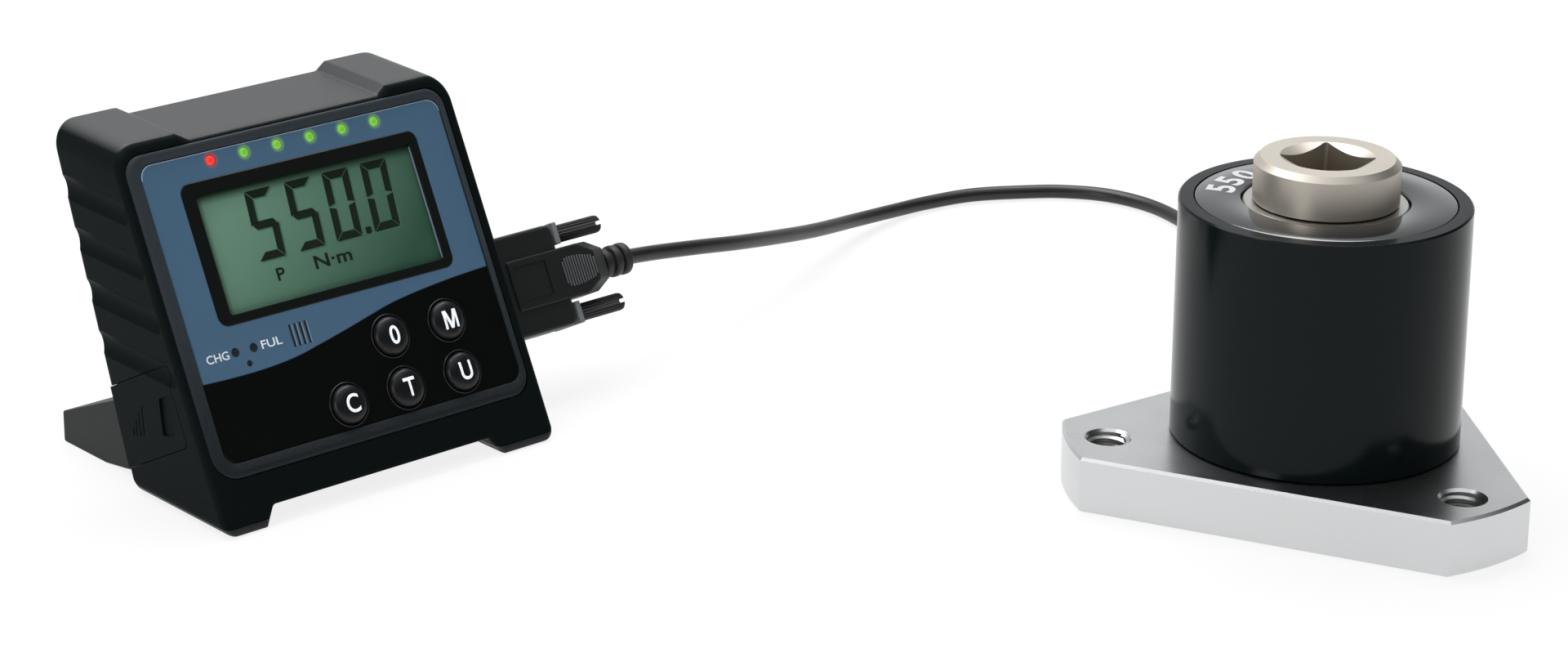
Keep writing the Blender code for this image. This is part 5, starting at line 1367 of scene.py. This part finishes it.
def thread(name, x, y):
    """The turns of a tapped hole as one helical ridge."""
    outer = HOLE_RADIUS + THREAD_DEPTH + 0.05
    sides = 72
    rows = [(outer, 0.0), (HOLE_RADIUS, 0.36), (HOLE_RADIUS, 0.52), (outer, 0.86)]
    count = len(rows)
    steps = int((BASE_THICK - 1.4) / THREAD_PITCH) * sides
    points = []
    for i in range(steps + 1):
        angle = 2 * math.pi * i / sides
        lift = 0.5 + THREAD_PITCH * i / sides
        for radius, share in rows:
            px, py = on_circle(radius, angle)
            points.append((x + px, y + py, lift + share * THREAD_PITCH))
    starts = [i * count + k for i in range(steps) for k in range(count - 1)]
    faces = [(a, a + 1, a + count + 1, a + count) for a in starts]
    add_piece(name, points, faces, THREAD, slot="plate_steel", sharp=40.0)


def sensor():
    """The tube with its cover, the shaft's collar and the cable gland."""
    low = BASE_THICK + GAP
    top = HOUSING_TOP
    outer = HOUSING_RADIUS
    inner = outer - HOUSING_RIM
    seat = top - COVER_THICK - GAP
    profile = [
        (outer - 0.5, low), (outer, low + 0.5), (outer, top - 0.5), (outer - 0.42, top - 0.05),
        (outer - 0.55, top), (inner, top), (inner, seat), (inner - 1.5, seat), (inner - 1.5, low),
    ]
    tube = lathe("sensor_tube", profile, ANODISED, 256, slot="anodised_black", sharp=35.0)
    out = Matrix.Rotation(GLAND_TURN, 4, "Z") @ Matrix.Rotation(math.pi / 2, 4, "Y")
    aim = Matrix.Translation(Vector(gland_point(0.0)) * MM) @ out
    settle(tube, [post_cutter("cut_gland", disc(0, 0, GLAND_HOLE, 40), 30.0, 45.0, aim)], sharp=35.0)
    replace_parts(tube, "sensor_housing")
    profile = [
        (COVER_RADIUS, top - COVER_THICK), (COVER_RADIUS, top - 0.5),
        (COVER_RADIUS - COVER_SOFT, top - COVER_SOFT), (COVER_RADIUS - 0.5, top),
        (COVER_HOLE + 0.6, top), (COVER_HOLE + COVER_SOFT, top - COVER_SOFT),
        (COVER_HOLE, top - 0.6), (COVER_HOLE, top - COVER_THICK),
    ]
    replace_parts(lathe("cover_disc", profile, COVER, 256, slot="anodised_black", sharp=35.0), "top_cover")
    for k, (letter, angle) in enumerate(RANGE_DIGITS):
        cover_letter(f"range_{k}", letter, math.radians(angle))
    top = HOUSING_TOP - 0.5
    profile = [
        (0.0, low), (31.0, low), (31.0, low + 9.0), (21.0, low + 9.0), (20.0, low + 12.0), (20.0, top - 9.0),
        (SHAFT_RADIUS - 0.6, top - 7.0), (SHAFT_RADIUS, top - 6.4), (SHAFT_RADIUS, top - 0.4),
        (SHAFT_RADIUS - 0.4, top), (SHAFT_BORE, top), (SHAFT_BORE, top - 22.3), (0.0, top - 22.3),
    ]
    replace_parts(lathe("shaft", profile, COLLAR, 192, slot="nickel", sharp=35.0), "transducer_shaft")
    drive()
    profile = [
        (0.0, 37.3), (4.3, 37.3), (4.3, 41.3), (6.4, 41.3), (6.6, 41.5), (6.6, 45.0), (6.3, 45.3),
        (5.6, 45.5), (5.6, 49.6), (5.3, 50.6), (4.4, 51.8), (3.4, 52.8), (3.0, 53.0), (0.0, 53.0),
    ]
    gland = lathe("gland", profile, MASS, 64, matrix=aim, slot="black_plastic", sharp=40.0)
    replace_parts(gland, "cable_gland")


def drive():
    """The drive socket: a turned ring with a square bore and a shallow dished lead-in."""
    low = HOUSING_TOP - 0.5
    top = HOUSING_TOP + DRIVE_RISE
    shank = SHANK_RADIUS
    foot = low - SHANK_LENGTH
    profile = [
        (0.0, foot), (shank - 0.5, foot), (shank, foot + 0.5), (shank, low + 0.3),
        (DRIVE_RADIUS - 0.4, low + 0.3), (DRIVE_RADIUS, low + 0.7), (DRIVE_RADIUS, top - DRIVE_CHAMFER),
        (DRIVE_RADIUS - DRIVE_CHAMFER, top), (0.0, top),
    ]
    head = lathe("drive_head", profile, TURNED, 256, slot="warm_steel", sharp=25.0)
    half = SQUARE_HALF
    square = box_outline(-half, half, -half, half, 1.0, 6)
    turn = Matrix.Rotation(SQUARE_TURN, 4, "Z")
    slope = (SQUARE_LEAD - half) / 1.6
    lead = []
    for z, radius in ((top - 2.6, half - slope), (top + 1.0, SQUARE_LEAD + slope)):
        lead += level_rings(disc(0.0, 0.0, radius, 192), [(0.0, z)], on_table)
    cuts = [
        post_cutter("cut_square", square, top - 26.0, top + 1.0, turn),
        cutter("cut_lead", lead, UPRIGHT),
    ]
    settle(head, cuts, bevel=0.16, segments=2, sharp=50.0, angle=22.0)
    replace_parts(head, "drive_socket")


# Finishes of the solids that stay as the model has them
KEPT = {
    "main_board": BOARD, "gauge_board": BOARD, "battery_pack": WRAP,
    "dsub_socket": NICKEL, "plug_shell": NICKEL,
}


def kept_nodes():
    for name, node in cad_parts.items():
        screw = name.startswith(("case_screw", "base_screw"))
        node.data.materials.clear()
        node.data.materials.append(KEPT.get(name, SCREW_STEEL if screw else MASS))


# Stage, light and camera

FLOOR_REACH = 12.0
FLOOR_WHITE = 0.84
BEHIND = (0.2, 0.98, 0.0)
WORLD_COLOUR = (0.97, 0.985, 1.0, 1.0)
WORLD_FRONT = 0.04
WORLD_LEVEL = 0.3
WORLD_BACK = 0.6
WORLD_TOP = 1.1
CAMERA_PLACE = (-0.81292, -0.67003, 0.42847)
CAMERA_PITCH = math.radians(72.546)
CAMERA_TURN = math.radians(-40.718)
CAMERA_LENS = 89.64
CAMERA_SHIFT = (0.06236, -0.11607)


def floor():
    """A pale table that shows white to the camera and in reflections, and keeps the object's shadow."""
    def share(tree):
        rays = add_node(tree, "LightPath").outputs
        seen = maths(tree, "ADD", rays["Is Camera Ray"], rays["Is Glossy Ray"])
        seen = maths(tree, "ADD", seen, rays["Is Transmission Ray"], clamp=True)
        return maths(tree, "MULTIPLY", seen, FLOOR_WHITE)

    mesh = bpy.data.meshes.new("floor")
    reach = FLOOR_REACH
    corners = [(-reach, -reach, 0.0), (reach, -reach, 0.0), (reach, reach, 0.0), (-reach, reach, 0.0)]
    mesh.from_pydata(corners, [], [(0, 1, 2, 3)])
    made = bpy.data.objects.new("floor", mesh)
    bpy.context.scene.collection.objects.link(made)
    made.location = (0.0, 0.0, -0.0001)
    matt = ("BsdfDiffuse", {"Color": (0.9, 0.9, 0.9, 1.0)})
    mesh.materials.append(mixed_material("floor_white", share, matt, ("Emission", {"Strength": 1.0})))


def area_lamp(name, where, aim, size, watts):
    data = bpy.data.lights.new(name, "AREA")
    data.shape = "RECTANGLE"
    data.size, data.size_y = size
    data.energy = watts
    made = bpy.data.objects.new(name, data)
    bpy.context.scene.collection.objects.link(made)
    made.location = where
    made.rotation_euler = (Vector(aim) - Vector(where)).to_track_quat("-Z", "Y").to_euler()


def lights():
    """A studio that is bright overhead and behind the object and dim before it, with two soft lamps."""
    world = bpy.data.worlds.new("studio")
    bpy.context.scene.world = world
    world.use_nodes = True
    tree = world.node_tree
    way = own(tree, "Generated")
    behind = add_node(tree, "VectorMath", {0: way, 1: BEHIND}, operation="DOT_PRODUCT").outputs["Value"]
    up = add_node(tree, "SeparateXYZ", {"Vector": way}).outputs["Z"]
    back = mapped(tree, behind, -0.1, 0.85, WORLD_FRONT, WORLD_BACK, "SMOOTHSTEP")
    level = mapped(tree, up, 0.12, 0.42, WORLD_LEVEL, 0.0, "SMOOTHSTEP")
    high = mapped(tree, up, 0.55, 1.0, 0.0, WORLD_TOP, "SMOOTHSTEP")
    total = maths(tree, "ADD", maths(tree, "ADD", back, level), high)
    feed(tree, tree.nodes["Background"], {"Color": WORLD_COLOUR, "Strength": total})
    area_lamp("overhead", (0.1, 0.75, 1.5), (-0.05, 0.1, 0.0), (1.8, 1.0), 24.0)
    area_lamp("left", (-1.5, -0.1, 0.5), (-0.1, 0.15, 0.05), (0.5, 0.9), 4.5)


def camera():
    data = bpy.data.cameras.new("camera")
    data.sensor_width = 36.0
    data.lens = CAMERA_LENS
    data.shift_x, data.shift_y = CAMERA_SHIFT
    data.clip_end = 50.0
    made = bpy.data.objects.new("camera", data)
    bpy.context.scene.collection.objects.link(made)
    made.location = CAMERA_PLACE
    made.rotation_euler = (CAMERA_PITCH, 0.0, CAMERA_TURN)
    bpy.context.scene.camera = made


camera()
cable()
housing()
feet()
heels()
front_frame()
panel()
window()
buttons()
lamps()
for label, (text, box) in LABELS.items():
    lettering(label, text, box, -0.02, PANEL_LETTER, bold=0.01, slot="panel_blue")
battery_door()
hood()
thumbscrews()
boot()
base()
sensor()
kept_nodes()
floor()
lights()
bpy.context.scene.view_settings.view_transform = "Standard"
